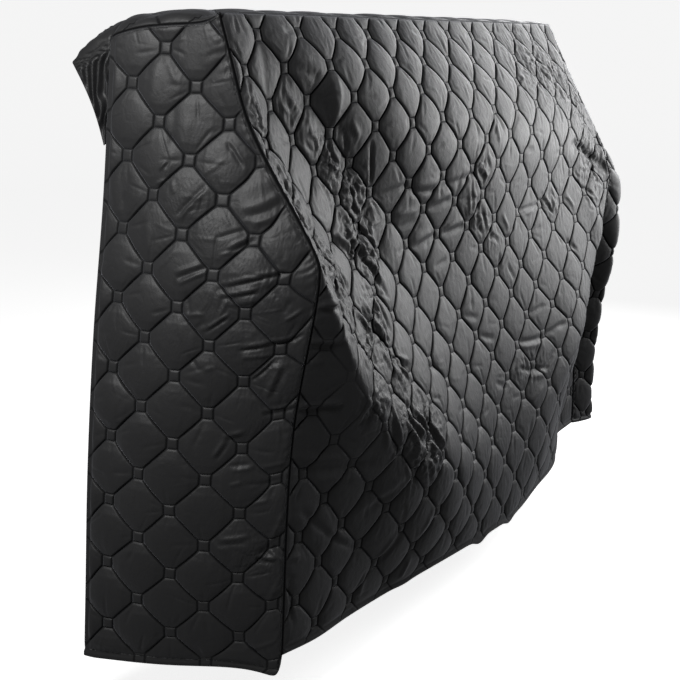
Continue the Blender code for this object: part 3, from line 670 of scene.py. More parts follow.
# Where cloth is gathered: the place, its reach across and down, and the spare cloth it holds both ways.
FRONT_SPARE = (0.014, 0.010)    # everywhere
FRONT_GATHERED = (
    (3, 4, 0.9, 0.8, 0.07, 0.05), (4, 5.2, 0.9, 0.9, 0.09, 0.07), (1.2, 2.2, 1, 1, 0.03, 0.03),
    (2.8, 3, 0.7, 0.7, 0.03, 0.03), (4.4, 6.6, 0.7, 0.8, 0.05, 0.04), (-1.1, 2.6, 0.5, 1.4, 0.04, 0.05),
    (-0.8, 4.6, 0.6, 1.2, 0.06, 0.06), (-0.1, 6.6, 0.9, 1.2, 0.07, 0.06), (0.9, 8.4, 0.8, 1.1, 0.05, 0.05),
    (2, 10.2, 0.8, 1.1, 0.04, 0.04), (3.6, 8.2, 0.6, 1, 0.03, 0.03), (4.8, 13, 1.3, 1.2, 0.1, 0.07),
    (3, 12, 0.7, 0.7, 0.05, 0.04), (1.4, 11.3, 0.9, 0.5, 0.05, 0.05), (11.6, 5, 0.7, 0.6, 0.05, 0.04),
    (11.4, 6.6, 0.8, 0.8, 0.05, 0.04), (12.6, 7.6, 0.6, 0.7, 0.04, 0.04), (19, 1.6, 2.6, 1.4, 0.05, 0.05),
    (21.6, 3.2, 1.2, 1.2, 0.05, 0.05), (21.8, 6, 1.2, 1.2, 0.08, 0.07), (17.8, 7, 0.8, 0.8, 0.04, 0.04),
    (14.6, 13, 1.4, 0.7, 0.05, 0.04), (3.3, 6.3, 0.6, 0.8, 0.07, 0.06), (4, 7.3, 0.5, 0.7, 0.07, 0.06),
    (1, 7, 0.7, 0.8, 0.06, 0.05), (2.2, 9, 0.5, 0.9, 0.05, 0.05), (3.3, 9.2, 0.5, 0.9, 0.07, 0.05),
    (4, 10.5, 0.5, 0.8, 0.08, 0.05),
)
SIDE_SPARE = (0.014, 0.009)
LEFT_GATHERED = (
    (4, 7.4, 1.4, 1.6, 0.02, 0.03), (2.4, 5.4, 1, 1, 0.01, 0.02), (4.7, 9.8, 0.7, 1.2, 0.02, 0.03),
    (4.6, 15.4, 0.9, 1, 0.03, 0.04),
)


# ---- settling: spare cloth buckles between its stitches, over the wadding ----
SETTLE_STEPS = 70
WADDING = 0.05           # how firmly the wadding holds the cloth at its own height
BEND_KEEP = 0.93         # cloth two mesh steps apart never folds closer than this share of its length
SETTLE_START = 0.0006    # a little unevenness, from which the cloth buckles
STIFFNESS = {"straight": 0.9, "slant": 0.45, "bend": 0.5}


def pair_slices(size, across, down):
    """The first and the second corners of all pairs that lie so many mesh steps apart."""
    rows, columns = size[0] - across, size[1] - abs(down)
    if down >= 0:
        return (slice(0, rows), slice(0, columns)), (slice(across, None), slice(down, None))
    return (slice(0, rows), slice(-down, None)), (slice(across, None), slice(0, columns))


def rest_lengths(points, across, down, spare):
    """The cloth's own length between corners some mesh steps apart, on a grid of the first corners."""
    near, far = pair_slices(points.shape, across, down)
    gap = points[far] - points[near]
    rest = np.zeros(points.shape[:2])
    rest[near] = np.sqrt((gap * gap).sum(-1)) * (1 + spare[near])
    return rest


def turns_of(count, step):
    """Two sets of starts along an axis, so that no corner is moved twice at once."""
    starts = np.arange(count - step)
    return starts[(starts // step) % 2 == 0], starts[(starts // step) % 2 == 1]


def pull(points, loose, across, down, rest, stiffness, only_short):
    """Moves each pair of corners, so many mesh steps apart, towards its own length."""
    near_all, far_all = pair_slices(points.shape, across, down)
    for starts in turns_of(points.shape[0 if across else 1], across or down):
        if across:
            near, far = (starts, near_all[1]), (starts + across, far_all[1])
        else:
            near, far = (slice(None), starts), (slice(None), starts + down)
        gap = points[far] - points[near]
        length = np.sqrt((gap * gap).sum(-1))
        excess = (length - rest[near]) / np.maximum(length, 1e-9)
        if only_short:
            excess = np.minimum(excess, 0.0)
        share = stiffness * excess / np.maximum(loose[near] + loose[far], 1e-9)
        first, second = gap * (share * loose[near])[..., None], gap * (share * loose[far])[..., None]
        points[near] += first
        points[far] -= second


def settle(base, normals, height, loose, spare_across, spare_down):
    """Lets spare cloth find its own small folds. Stitched corners stay where they are."""
    uneven = rough(np.arange(height.size).reshape(height.shape) * 0.37, height * 0, 90)
    points = base + normals * (height + loose * SETTLE_START * uneven)[..., None]
    shape = base + normals * height[..., None]
    slant = (spare_across + spare_down) / 2
    ways = ((1, 0, spare_across, "straight"), (0, 1, spare_down, "straight"), (1, 1, slant, "slant"),
            (1, -1, slant, "slant"), (2, 0, spare_across, "bend"), (0, 2, spare_down, "bend"))
    springs = []
    for across, down, spare, kind in ways:
        rest = rest_lengths(shape, across, down, spare) * (BEND_KEEP if kind == "bend" else 1.0)
        springs.append((across, down, rest, STIFFNESS[kind], kind == "bend"))
    for turn in range(SETTLE_STEPS):
        for spring in springs:
            pull(points, loose, *spring)
        level = ((points - base) * normals).sum(-1)
        points += normals * ((height - level) * loose * WADDING)[..., None]
    return points


# ---- cloths as closed meshes ----
def lattice_lines(start, length, per_step, near, far):
    """Mesh lines over a length, in metres: the lattice's own, and closer ones along both edges."""
    lines = (np.arange(-2 * per_step, (int(length / HALF) + 3) * per_step) / per_step + start) * HALF
    lines = lines[(lines > EDGE_ROOM[near]) & (lines < length - EDGE_ROOM[far])]
    return np.concatenate([EDGE_LINES[near], lines, length - np.array(EDGE_LINES[far])[::-1]])


def inner_lines(count):
    """Which of the outer face's mesh lines the lining has: the edges' own, and every third other."""
    return sorted(set([0, 2] + list(range(4, count - 4, 3)) + [count - 3, count - 1]))


def new_object(name, mesh):
    item = bpy.data.objects.new(name, mesh)
    bpy.context.scene.collection.objects.link(item)
    return item


def add_map(mesh, name, places):
    """Every cloth has the map "lattice", of lattice steps across and down it. A quilted one also has
    "edges": how far its nearest seam lies, in steps of 0.1 m, and ten times its share of crumples."""
    layer = mesh.uv_layers.new(name=name)
    corner = np.empty(len(mesh.loops), int)
    mesh.loops.foreach_get("vertex_index", corner)
    layer.data.foreach_set("uv", places[corner].astype(np.float32).ravel())


def mark_stitching(mesh, places, outer_count):
    """Edges along the stitching are sharp."""
    ends = np.empty(len(mesh.edges) * 2, int)
    mesh.edges.foreach_get("vertices", ends)
    ends = ends.reshape(-1, 2)
    r, s, m, n, x, y = nearest_square(places[:, 0], places[:, 1])
    inside = np.maximum(abs(x), abs(y)) < SQUARE - ON_LINE
    sharp = np.zeros(len(ends), bool)
    for line, whole in ((r, m), (s, n)):
        on = (abs(line - whole) < ON_LINE) & ~inside
        sharp |= on[ends].all(1) & (whole[ends[:, 0]] == whole[ends[:, 1]])
    for here, other in ((x, y), (y, x)):
        on = (abs(abs(here) - SQUARE) < ON_LINE) & (abs(other) < SQUARE + ON_LINE)
        sharp |= on[ends].all(1) & (abs(here[ends[:, 0]] - here[ends[:, 1]]) < ON_LINE)
    sharp &= (ends < outer_count).all(1)
    mesh.attributes.new("sharp_edge", "BOOLEAN", "EDGE").data.foreach_set("value", sharp)


def halves(grid, straight):
    """The two triangles of each cell of a grid of corners, cut along one diagonal or the other."""
    c00, c10, c11, c01 = grid[:-1, :-1], grid[1:, :-1], grid[1:, 1:], grid[:-1, 1:]
    straight = straight[..., None]
    one = np.where(straight, np.stack([c00, c10, c11], -1), np.stack([c00, c10, c01], -1))
    two = np.where(straight, np.stack([c00, c11, c01], -1), np.stack([c10, c11, c01], -1))
    return [one.reshape(-1, 3), two.reshape(-1, 3)]


def rim_faces(index, lining, pick_p, pick_q):
    """Triangles round the edges, between the outer face's corners and the lining's fewer ones."""
    across, down = index.shape
    loops = (
        (index[:, 0], lining[:, 0], pick_p),
        (index[-1, :], lining[-1, :], pick_q),
        (index[::-1, -1], lining[::-1, -1], [across - 1 - m for m in reversed(pick_p)]),
        (index[0, ::-1], lining[0, ::-1], [down - 1 - m for m in reversed(pick_q)]),
    )
    rim = []
    for outer, inner, picks in loops:
        for m, (start, end) in enumerate(zip(picks[:-1], picks[1:])):
            middle = (start + end) // 2
            rim += [(outer[n + 1], outer[n], inner[m]) for n in range(start, middle)]
            rim.append((inner[m], inner[m + 1], outer[middle]))
            rim += [(outer[n + 1], outer[n], inner[m + 1]) for n in range(middle, end)]
    return np.array(rim)


def closed_mesh(name, quilt, face, depth):
    """A cloth with a fine outer face and a coarser lining, closed round its edges. Places that fall
    together are one corner."""
    across, down = quilt.p.shape
    pick_p, pick_q = inner_lines(across), inner_lines(down)
    spots = np.round(np.stack([quilt.p, quilt.q], -1) * PLACE_GRID).astype(np.int64)
    keys = spots[..., 0] * 2 * PLACE_GRID + spots[..., 1]
    unique, first, back = np.unique(keys.ravel(), return_index=True, return_inverse=True)
    index = back.reshape(across, down)
    inner_index = index[np.ix_(pick_p, pick_q)]
    chosen, inner_back = np.unique(inner_index.ravel(), return_inverse=True)
    lining = inner_back.reshape(inner_index.shape) + len(unique)

    def corners_of(outside, inside):
        return np.concatenate([outside.reshape(across * down, -1)[first],
                               inside.reshape(across * down, -1)[first][chosen]])

    corners = corners_of(face, quilt.base - quilt.normals * depth[..., None])
    places = np.stack([quilt.a, quilt.b], -1)
    places = corners_of(places, places)
    edges = np.stack([quilt.seam, quilt.worn], -1) * 10
    edges = corners_of(edges, edges)

    a, b = quilt.a, quilt.b
    r, s, m, n, x, y = nearest_square((a[:-1, :-1] + a[1:, 1:]) / 2, (b[:-1, :-1] + b[1:, 1:]) / 2)
    l00, l10, l11, l01 = lining[:-1, :-1], lining[1:, :-1], lining[1:, 1:], lining[:-1, 1:]
    faces = halves(index, abs(s - n) < abs(r - m))
    faces += [np.stack([l00, l01, l11], -1).reshape(-1, 3), np.stack([l00, l11, l10], -1).reshape(-1, 3)]
    faces = np.concatenate(faces + [rim_faces(index, lining, pick_p, pick_q)])
    faces = faces[(faces[:, 0] != faces[:, 1]) & (faces[:, 1] != faces[:, 2]) & (faces[:, 2] != faces[:, 0])]
    if quilt.surface.flipped:
        faces = faces[:, ::-1]
    mesh = bpy.data.meshes.new(name)
    mesh.from_pydata(corners, [], faces.tolist())
    mesh.shade_smooth()
    add_map(mesh, "lattice", places)
    add_map(mesh, "edges", edges)
    mark_stitching(mesh, places, len(unique))
    return new_object(name, mesh)


# ---- the four quilted cloths ----
class Quilt:
    """A quilted cloth on its mesh lines: p and q are shares of its surface, a and b lattice steps. Its
    edges are those at p = 0, at p = 1, at q = 0 and at q = 1."""

    def __init__(self, surface, p, q, a, b, wide, deep, kinds):
        self.surface = surface
        self.p, self.q, self.a, self.b = p, q, a, b
        self.wide, self.deep = wide, deep
        self.edges = (p * wide, (1 - p) * wide, q * deep, (1 - q) * deep)
        self.kinds = kinds
        self.nearest = np.minimum.reduce(self.edges)
        self.seam = np.minimum.reduce([d for d, kind in zip(self.edges, kinds) if kind == "seam"])
        self.folds = np.zeros_like(p)
        self.worn = np.zeros_like(p)

    def raise_diamonds(self, puff, fill, seed, crown=0.0):
        """Diamonds with their puckers and ripples, down to the shape of each edge."""
        small = puckers(self.a, self.b, seed + 10) + ripples(self.a, self.b, seed + 20)
        self.fill = fill
        self.height = puff - GROOVE + fill * small + crown
        for distance, kind in zip(self.edges, self.kinds):
            self.height = border(self.height, distance, kind)

    def fold(self, lines, everywhere, spots, seed, drawn):
        """Crinkles at the edges that draw the cloth in, listed folds, and crumpled spare cloth."""
        self.height += sum(crinkles(self.q * self.deep, self.edges[edge], seed + key) for edge, key in drawn)
        self.spare = spare_cloth(self.a, self.b, everywhere, spots)
        self.worn = sum(self.spare) - sum(everywhere)
        crumples = CRUMPLE * self.worn * crumple(self.a, self.b, seed + 50)
        self.folds = (creases(self.a, self.b, lines) + crumples) * ease01(self.nearest / CALM_EDGE)
        self.height += self.folds

    def wander(self, seed, tilt=0.0):
        """The stitched lattice is never quite even: moves each place off it, away from the edges."""
        (a, b), (x, y) = ((self.a / step, self.b / step) for step in WANDER_STEPS)
        aside = WANDER * (rough(a + 3, b, seed + 30) + WANDER_SMALL * rough(x, y + 7, seed + 31))
        below = WANDER * (rough(a, b + 5, seed + 32) + WANDER_SMALL * rough(x + 4, y, seed + 33))
        inland = ease01(self.nearest / WANDER_EDGE)
        self.p = self.p + inland * aside / self.wide
        self.q = self.q + inland * (below + tilt * (self.a - SIDE_LEVEL)) / self.deep

    def turn(self, seams):
        """Where the cloth lies and faces. Beside a seam it faces as the other cloth does, so they meet."""
        self.base = self.surface.read(self.surface.points, self.p, self.q)
        self.normals = self.surface.read(self.surface.normals, self.p, self.q)
        for distance, table, share in zip(self.edges, seams, (self.q, self.q, self.p)):
            if table is not None:
                other = table[np.round(share * (len(table) - 1)).astype(int)]
                near = np.clip(1 - distance / CALM_EDGE, 0, 1) ** 2
                self.normals = unit(mix(self.normals, other, near[..., None]))

    def loose(self):
        """Which corners are free to settle: not those on the stitching, in the small squares or at an
        edge."""
        r, s, m, n, x, y = nearest_square(self.a, self.b)
        held = (abs(r - m) < ON_LINE) | (abs(s - n) < ON_LINE)
        held |= np.maximum(abs(x), abs(y)) < SQUARE + ON_LINE
        for distance, kind in zip(self.edges, self.kinds):
            held |= distance - (0.0 if kind == "seam" else HEM_HELD) < EDGE_ROOM["seam"] + SEAM_HELD
        return np.where(held, 0.0, 1.0)

    def settled(self, name):
        return self.close(name, settle(self.base, self.normals, self.height, self.loose(), *self.spare))

    def close(self, name, face):
        inside = LINING + LINING_FILL * self.fill
        depth = mix(EDGE_DEPTH, inside, ease01(self.nearest / LINING_RISE)) - self.folds
        return closed_mesh(name, self, face, depth)


def flat_quilt(surface, start, size, per_step, kinds, way):
    """A quilt whose mesh lines run straight across and down. Its steps are those of the front's lattice,
    which goes on over the top, where it is counted the other way."""
    u = lattice_lines(start[0], size[0], per_step, "seam", "seam")
    g = lattice_lines(start[1], size[1], per_step, "seam", kinds[3])
    p, q = np.meshgrid(u / size[0], g / size[1], indexing="ij")
    a = np.broadcast_to((u / HALF - FRONT_START[0])[:, None], p.shape)
    b = np.broadcast_to((way * g / HALF - FRONT_START[1])[None], p.shape)
    return Quilt(surface, p, q, a, b, size[0], size[1], kinds)


def front_cloth(surface, seams):
    seed = SEEDS["front"]
    cloth = flat_quilt(surface, FRONT_START, (LENGTH, FRONT_GIRTH), MESH_LINES["front"],
                       ("seam", "seam", "seam", "hem"), 1)
    a, b = cloth.a, cloth.b
    puff, fill = stitched(a, b, seed, "front")
    # Between the left seam and the keyboard the cloth is pulled nearly flat.
    x, y = a - TAUT_MIDDLE[0], b - TAUT_MIDDLE[1]
    onward = (x * TAUT_LEAN[0] + y * TAUT_LEAN[1]) / TAUT_REACH[0]
    across = (y * TAUT_LEAN[0] - x * TAUT_LEAN[1]) / TAUT_REACH[1]
    taut = TAUT_SHARE * np.exp(-onward ** 2 - across ** 2)
    puff, fill = mix(puff, TAUT_PUFF, taut), mix(fill, TAUT_FILL, taut)
    puff *= 1 + LOW_LOOSE[0] * ease01((b - LOW_LOOSE[1]) / LOW_LOOSE[2])
    puff *= 1 - RIGHT_TIGHT[0] * ease01((a - RIGHT_TIGHT[1]) / RIGHT_TIGHT[2])
    cloth.raise_diamonds(puff, fill, seed)
    cloth.fold(FRONT_FOLDS + FRONT_CREASES, FRONT_SPARE, FRONT_GATHERED, seed, ((0, 40), (1, 42)))
    cloth.wander(seed)
    cloth.turn(seams)
    low = sum(drop * np.exp(-((a - a0) / wide) ** 2) for a0, wide, drop in HEM_DROPS)
    cloth.base[..., 2] -= low * (1 - ease01(cloth.edges[3] / HEM_DROP_FADE))
    return cloth.settled("quilted_front")


def invert(surface, s_table, v_table, s, v):
    """Shares p and q at which two tables hold the wanted values."""
    p = np.clip(s / s_table[-1].mean(), 0, 1)
    q = np.clip(v / v_table[:, -1].mean(), 0, 1)
    slope_s = np.gradient(s_table, axis=0) * (s_table.shape[0] - 1)
    slope_v = np.gradient(v_table, axis=1) * (v_table.shape[1] - 1)
    for turn in range(INVERT_TURNS):
        p = p + INVERT_PACE * (s - surface.read(s_table, p, q)) / surface.read(slope_s, p, q)
        q = q + INVERT_PACE * (v - surface.read(v_table, p, q)) / surface.read(slope_v, p, q)
        p, q = (np.clip(share, -INVERT_PAST, 1 + INVERT_PAST) for share in (p, q))
    return p, q


def side_quilt(surface, per_step):
    """A side's mesh lines follow its lattice, which lies level, and close ones run along its edges."""
    plan = np.linalg.norm(np.diff(surface.points[..., :2], axis=0), axis=2)
    s_table = np.concatenate([np.zeros((1, plan.shape[1])), np.cumsum(plan, 0)])
    v_table = TOP_LEVEL - surface.points[..., 2]
    s = (np.arange(-2 * per_step, SIDE_COUNT[0] * per_step) / per_step + SIDE_START[0]) * HALF
    v = (np.arange(-2 * per_step, SIDE_COUNT[1] * per_step) / per_step + SIDE_START[1]) * SIDE_STEP
    s = s[(s > EDGE_ROOM["hem"]) & (s < s_table[-1].max())]
    v = v[(v > v_table[:, 0].min()) & (v < v_table[:, -1].max())]
    s, v = np.meshgrid(s, v, indexing="ij")
    p, q = invert(surface, s_table, v_table, s, v)
    reach_at = np.linspace(0, 1, surface.points.shape[1])
    deep = surface.reach_q.mean()
    q = np.clip(q, EDGE_ROOM["seam"] / deep, 1 - EDGE_ROOM["hem"] / deep)
    wide = np.interp(q, reach_at, surface.reach_p)
    p = np.clip(p, EDGE_ROOM["hem"] / wide, 1 - EDGE_ROOM["seam"] / wide)
    seam_lines, hem_lines = np.array(EDGE_LINES["seam"]), np.array(EDGE_LINES["hem"])
    few, many = len(seam_lines), len(hem_lines)
    p, q = (np.pad(share, ((many, few), (few, many)), mode="edge") for share in (p, q))
    wide = np.interp(q, reach_at, surface.reach_p)
    p[:many] = hem_lines[:, None] / wide[:many]
    p[-few:] = 1 - seam_lines[::-1, None] / wide[-few:]
    q[:, :few] = seam_lines / deep
    q[:, -many:] = 1 - hem_lines[::-1] / deep
    a = surface.read(s_table, p, q) / HALF - SIDE_START[0]
    b = surface.read(v_table, p, q) / SIDE_STEP - SIDE_START[1]
    return Quilt(surface, p, q, a, b, wide, deep, ("narrow hem", "seam", "seam", "hem"))


def side_cloth(name, end, surface, seams, lines, spots):
    seed = SEEDS[end]
    cloth = side_quilt(surface, MESH_LINES[end])
    puff, fill = stitched(cloth.a, cloth.b, seed, "side")
    back = np.exp(-(cloth.a / BACK_LOOSE_REACH) ** 2)
    puff *= 1 + BACK_LOOSE[0] * back * ease01((cloth.b - BACK_LOOSE[1]) / BACK_LOOSE[2])
    cloth.raise_diamonds(puff, fill, seed)
    cloth.fold(lines, SIDE_SPARE, spots, seed, ((1, 40),))
    cloth.wander(seed, SIDE_TILT)
    cloth.turn(seams)
    return cloth.settled(name)


def top_cloth(surface, seams):
    cloth = flat_quilt(surface, (FRONT_START[0], TOP_START), (LENGTH, TOP_DEPTH), MESH_LINES["top"],
                       ("seam",) * 4, -1)
    puff, fill = stitched(cloth.a, cloth.b, SEEDS["top"], "front")
    cloth.raise_diamonds(puff, fill, SEEDS["top"], TOP_CROWN * 4 * cloth.q * (1 - cloth.q))
    cloth.turn(seams)
    return cloth.close("quilted_top", cloth.base + cloth.normals * cloth.height[..., None])


# ---- the gathered flap ----
def corner_length(surface):
    """How far along the flap's seam the top's back corner lies."""
    level = surface.points[:, 0, 2]
    first = int(np.argmax(level > TOP_LEVEL - CORNER_LEVEL))
    return float(np.linalg.norm(np.diff(surface.points[: first + 1, 0], axis=0), axis=1).sum())


def gathers(x, y, beside, p, q, length):
    """The flap's relief: waves that run out from its seam and, beside a side panel, ribs along the
    panel's back edge. x is measured along the seam and y from it."""
    def sway(waves, reach, often, seed):
        return waves * rough(x / reach, q * often, seed)

    outward = x / GATHER_LENGTH + sway(*GATHER_SWAY[0], 77) + sway(*GATHER_SWAY[1], 78)
    sideways = y / RIB_LENGTH + sway(*RIB_SWAY, 87)
    swell = 0.5 + 0.5 * rough(x / GATHER_SWELL[0], q * GATHER_SWELL[1] + 9, 79)
    wave = swell * ease01(q / WAVE_START) * mix(WAVE_LEAST, 1, ease01((1 - q) / WAVE_END))
    fall = ease01((x - RIB_START) / RIB_RISE) * ease01(((1 - p) * length - RIB_START) / RIB_RISE)
    rib = mix(RIB_LEAST, 1, fall) * ease01(q / RIB_EDGE) * ease01((1 - q) / RIB_EDGE)
    return mix(GATHER_HEIGHT * wave * np.sin(2 * np.pi * outward),
               RIB_HEIGHT * rib * np.sin(2 * np.pi * sideways), beside)


def flap_cloth(name, surface):
    length, width = surface.reach_p[0], surface.reach_q
    u = lattice_lines(0.0, length, MESH_LINES["flap"], "hem", "hem")
    lines = np.concatenate([FLAP_LINES[0], np.linspace(*FLAP_LINES[1]), FLAP_LINES[2]])
    p, q = np.meshgrid(u / length, lines, indexing="ij")
    reach = np.interp(p, np.linspace(0, 1, len(width)), width)
    x, y, hem = p * length, q * reach, (1 - q) * reach
    beside = ease01((corner_length(surface) - np.minimum(p, 1 - p) * length) / FLAP_TURN + 0.5)
    height = FLAP_FACE + gathers(x, y, beside, p, q, length)
    seam = q < FLAP_SEAM_SHARE
    height = np.where(seam, mix(FLAP_SEAM_FACE, height, ease01(q / FLAP_SEAM_SHARE)), height)
    height = mix(FLAP_HEM_FACE, height, ease01(hem / FLAP_HEM))
    depth = FLAP_INSIDE - FLAP_FOLLOW[0] * (height - FLAP_FACE) * ease01(q / WAVE_START)
    depth = np.maximum(depth, FLAP_HEM_INSIDE - height * FLAP_FOLLOW[1])
    depth = mix(FLAP_HEM_INSIDE, depth, ease01(hem / FLAP_HEM))
    base = surface.read(surface.points, p, q)
    normals = surface.read(surface.normals, p, q)
    corners = np.concatenate([(base + normals * height[..., None]).reshape(-1, 3),
                              (base - normals * depth[..., None]).reshape(-1, 3)])
    index = np.arange(p.size).reshape(p.shape)
    quads = np.stack([index[:-1, :-1], index[1:, :-1], index[1:, 1:], index[:-1, 1:]], -1).reshape(-1, 4)
    ring = np.concatenate([index[:, 0], index[-1, 1:], index[-2::-1, -1], index[0, -2:0:-1]])
    after = np.roll(ring, -1)
    rim = np.stack([after, ring, ring + p.size, after + p.size], -1)
    faces = np.concatenate([quads, quads[:, ::-1] + p.size, rim])
    if surface.flipped:
        faces = faces[:, ::-1]
    mesh = bpy.data.meshes.new(name)
    mesh.from_pydata(corners, [], faces.tolist())
    mesh.shade_smooth()
    places = np.stack([(x / HALF - FRONT_START[0]).ravel(), (-y / HALF - 4).ravel()], 1)
    add_map(mesh, "lattice", np.concatenate([places, places]))
    return new_object(name, mesh)


front = Surface(front_points(), (0, -1, 0))
left = Surface(side_points(front.points[0], -1, LEFT_SECTIONS, LEFT_DIPS), (-1, 0, 0))
right = Surface(side_points(front.points[-1], 1, RIGHT_SECTIONS, RIGHT_DIPS), (1, 0, 0))
top = Surface(top_points(front.points[:, 0], left.points[::-1, 0], right.points[::-1, 0]), (0, 0, 1))
sewn = int(FLAP_SHARE * (SHARE_SAMPLES - 1)) + 1
flap = Surface(flap_points(left.points[0, :sewn], top.points[:, -1], right.points[0, :sewn]), (0, 1, 0.5))

left_seam = unit(front.normals[0] + left.normals[-1])
right_seam = unit(front.normals[-1] + right.normals[-1])
front_top_seam = unit(front.normals[:, 0] + top.normals[:, 0])
left_top_seam = unit(left.normals[::-1, 0] + top.normals[0])
right_top_seam = unit(right.normals[::-1, 0] + top.normals[-1])

quilted_front = front_cloth(front, (left_seam, right_seam, front_top_seam))
quilted_left = side_cloth("quilted_left_side", "left", left, (None, left_seam, left_top_seam[::-1]),
                          LEFT_CREASES, LEFT_GATHERED)
quilted_right = side_cloth("quilted_right_side", "right", right,
                           (None, right_seam, right_top_seam[::-1]), (), ())
quilted_top = top_cloth(top, (left_top_seam, right_top_seam, front_top_seam))
gathered_flap = flap_cloth("gathered_flap", flap)


# ---- black satin polyester ----
CLOTH_TINTS = (0.018, 0.026)         # its darkest and its palest black
COOL = 1.03                          # blue against red and green
# near-black for the stitching and the seams: black thread, and painted shade in the grooves beside it
THREAD_AND_PAINTED_SHADE_COLOR = (0.0020, 0.0020, 0.0022, 1)
THREAD_AND_SHADE_SPREAD = (0.8, 3.4)           # the stitching's dark, black thread and painted groove shade, ends this many millimetres from the thread
JOINT_THREAD_AND_SHADE_SPREAD = (0.010, 0.042)        # and a seam's black thread and painted shade this far from the seam, in steps of 0.1 m
UPRIGHT_ONLY = 0.024                 # the painted shade round the squares is fainter along their level sides, as if this much further off
TAUT_THREAD = 0.9                    # how much of the stitching's painted dark, thread and groove shade, is lost where the cloth is taut
LOW_THREAD = ((11.5, 14.0), (1.0, 0.6))    # it fades down the front: between these steps, to this share
ROUGHNESS = (0.44, 0.14)             # the least, and how much its mottling adds at most
THREAD_ROUGHNESS = 0.35
GROOVE_SHADE_METALLIC = 0.9        # on the stitching: with its near-black colour the thread and its groove give back almost no light, a painted shade of the deep groove
WEAVE = (HALF * 1400, HALF * 500, 1.0)
# Heights of the finest relief, in the bump's own steps.
WEAVE_HEIGHT = 0.06
WRINKLE_HEIGHT = 1.3
FOLD_HEIGHT = 8.0        # sharp small folds, only where the cloth is crumpled
FOLD_SPREAD = (0.15, 1.3)
THREAD_DEPTH = 1.2
BUMP = {"Strength": 0.45, "Distance": 0.0016}
# Noises over the cloth: scale, detail, roughness and distortion.
MOTTLE = (9.0, 4.0, 0.6)
GRAIN = (90.0, 3.0, 0.6)
WRINKLES = (55.0, 5.0, 0.55, 0.6)
SMALL_FOLDS = (52.0, 0.0, 0.5, 0.5)
SATIN = {"Specular IOR Level": 0.40, "Sheen Weight": 0.18, "Sheen Roughness": 0.45,
         "Sheen Tint": (0.9, 0.92, 1.0, 1.0)}
PAPER = {"Base Color": (0.80, 0.80, 0.80, 1.0), "Roughness": 0.9, "Emission Color": (1.0, 1.0, 1.0, 1.0),
         "Emission Strength": 0.80}


class Nodes:
    """Short calls for a material's nodes."""

    def __init__(self, material):
        material.use_nodes = True
        self.tree = material.node_tree
        self.surface = self.tree.nodes["Principled BSDF"]

    def put(self, kind, settings=(), **inputs):
        node = self.tree.nodes.new(kind)
        for key, value in dict(settings).items():
            setattr(node, key, value)
        for key, value in inputs.items():
            self.feed(node.inputs[key], value)
        return node

    def feed(self, socket, value):
        if isinstance(value, bpy.types.NodeSocket):
            self.tree.links.new(value, socket)
        else:
            socket.default_value = value

    def math(self, operation, *values):
        node = self.put("ShaderNodeMath", {"operation": operation})
        for socket, value in zip(node.inputs, values):
            self.feed(socket, value)
        return node.outputs[0]

    def plus(self, *values):
        return self.math("ADD", *values)

    def minus(self, *values):
        return self.math("SUBTRACT", *values)

    def times(self, *values):
        return self.math("MULTIPLY", *values)

    def size(self, value):
        return self.math("ABSOLUTE", value)

    def blend(self, first, share, second, other):
        return self.plus(self.times(first, share), self.times(second, other))

    def ramp(self, value, span, low, high):
        node = self.put("ShaderNodeMapRange", {"interpolation_type": "SMOOTHSTEP"}, Value=value)
        for key, size in (("From Min", span[0]), ("From Max", span[1]), ("To Min", low), ("To Max", high)):
            node.inputs[key].default_value = size
        return node.outputs[0]

    def noise(self, place, scale, detail, roughness=0.5, distortion=0.0):
        return self.put("ShaderNodeTexNoise", Vector=place, Scale=scale, Detail=detail, Roughness=roughness,
                        Distortion=distortion).outputs[0]

    def parts(self, vector):
        return self.put("ShaderNodeSeparateXYZ", Vector=vector).outputs

    def uv(self, name):
        return self.put("ShaderNodeUVMap", {"uv_map": name}).outputs[0]


def thread_and_painted_groove_shade(nodes, a, b):
    """One along the quilting's thread, and nothing a few millimetres from it: the black thread with painted
    shade in its groove, fainter along the squares' level sides.
    """
    lines = []
    for joined in (nodes.plus(a, b), nodes.minus(a, b)):
        line = nodes.times(joined, 0.5)
        whole = nodes.math("ROUND", line)
        lines.append((whole, nodes.size(nodes.minus(line, whole))))
    (r, from_r), (s, from_s) = lines
    x = nodes.size(nodes.minus(a, nodes.plus(r, s)))
    y = nodes.size(nodes.minus(b, nodes.minus(r, s)))
    away = nodes.math("MAXIMUM", x, y)
    faint = nodes.times(nodes.minus(1.0, nodes.math("GREATER_THAN", x, y)), UPRIGHT_ONLY)
    outline = nodes.plus(nodes.size(nodes.minus(away, SQUARE)), faint)
    diagonal = nodes.times(nodes.math("MINIMUM", from_r, from_s), 2 ** 0.5)
    diagonal = nodes.plus(diagonal, nodes.math("LESS_THAN", away, SQUARE))
    nearest = nodes.times(nodes.math("MINIMUM", outline, diagonal), HALF * 1000)
    return nodes.ramp(nearest, THREAD_AND_SHADE_SPREAD, 1.0, 0.0)


def weaker_where_taut(nodes, a, b, painted_shade_factor):
    """The painted dark of the front's stitching, black thread and groove shade, shows less where the cloth
    is pulled flat, and low down.
    """
    x, y = nodes.minus(a, TAUT_MIDDLE[0]), nodes.minus(b, TAUT_MIDDLE[1])
    onward = nodes.blend(x, TAUT_LEAN[0] / TAUT_REACH[0], y, TAUT_LEAN[1] / TAUT_REACH[0])
    across = nodes.blend(y, TAUT_LEAN[0] / TAUT_REACH[1], x, -TAUT_LEAN[1] / TAUT_REACH[1])
    far = nodes.blend(onward, onward, across, across)
    taut = nodes.math("EXPONENT", nodes.times(far, -1.0))
    painted_shade_factor = nodes.times(painted_shade_factor, nodes.minus(1.0, nodes.times(taut, TAUT_THREAD)))
    return nodes.times(painted_shade_factor, nodes.ramp(b, LOW_THREAD[0], *LOW_THREAD[1]))


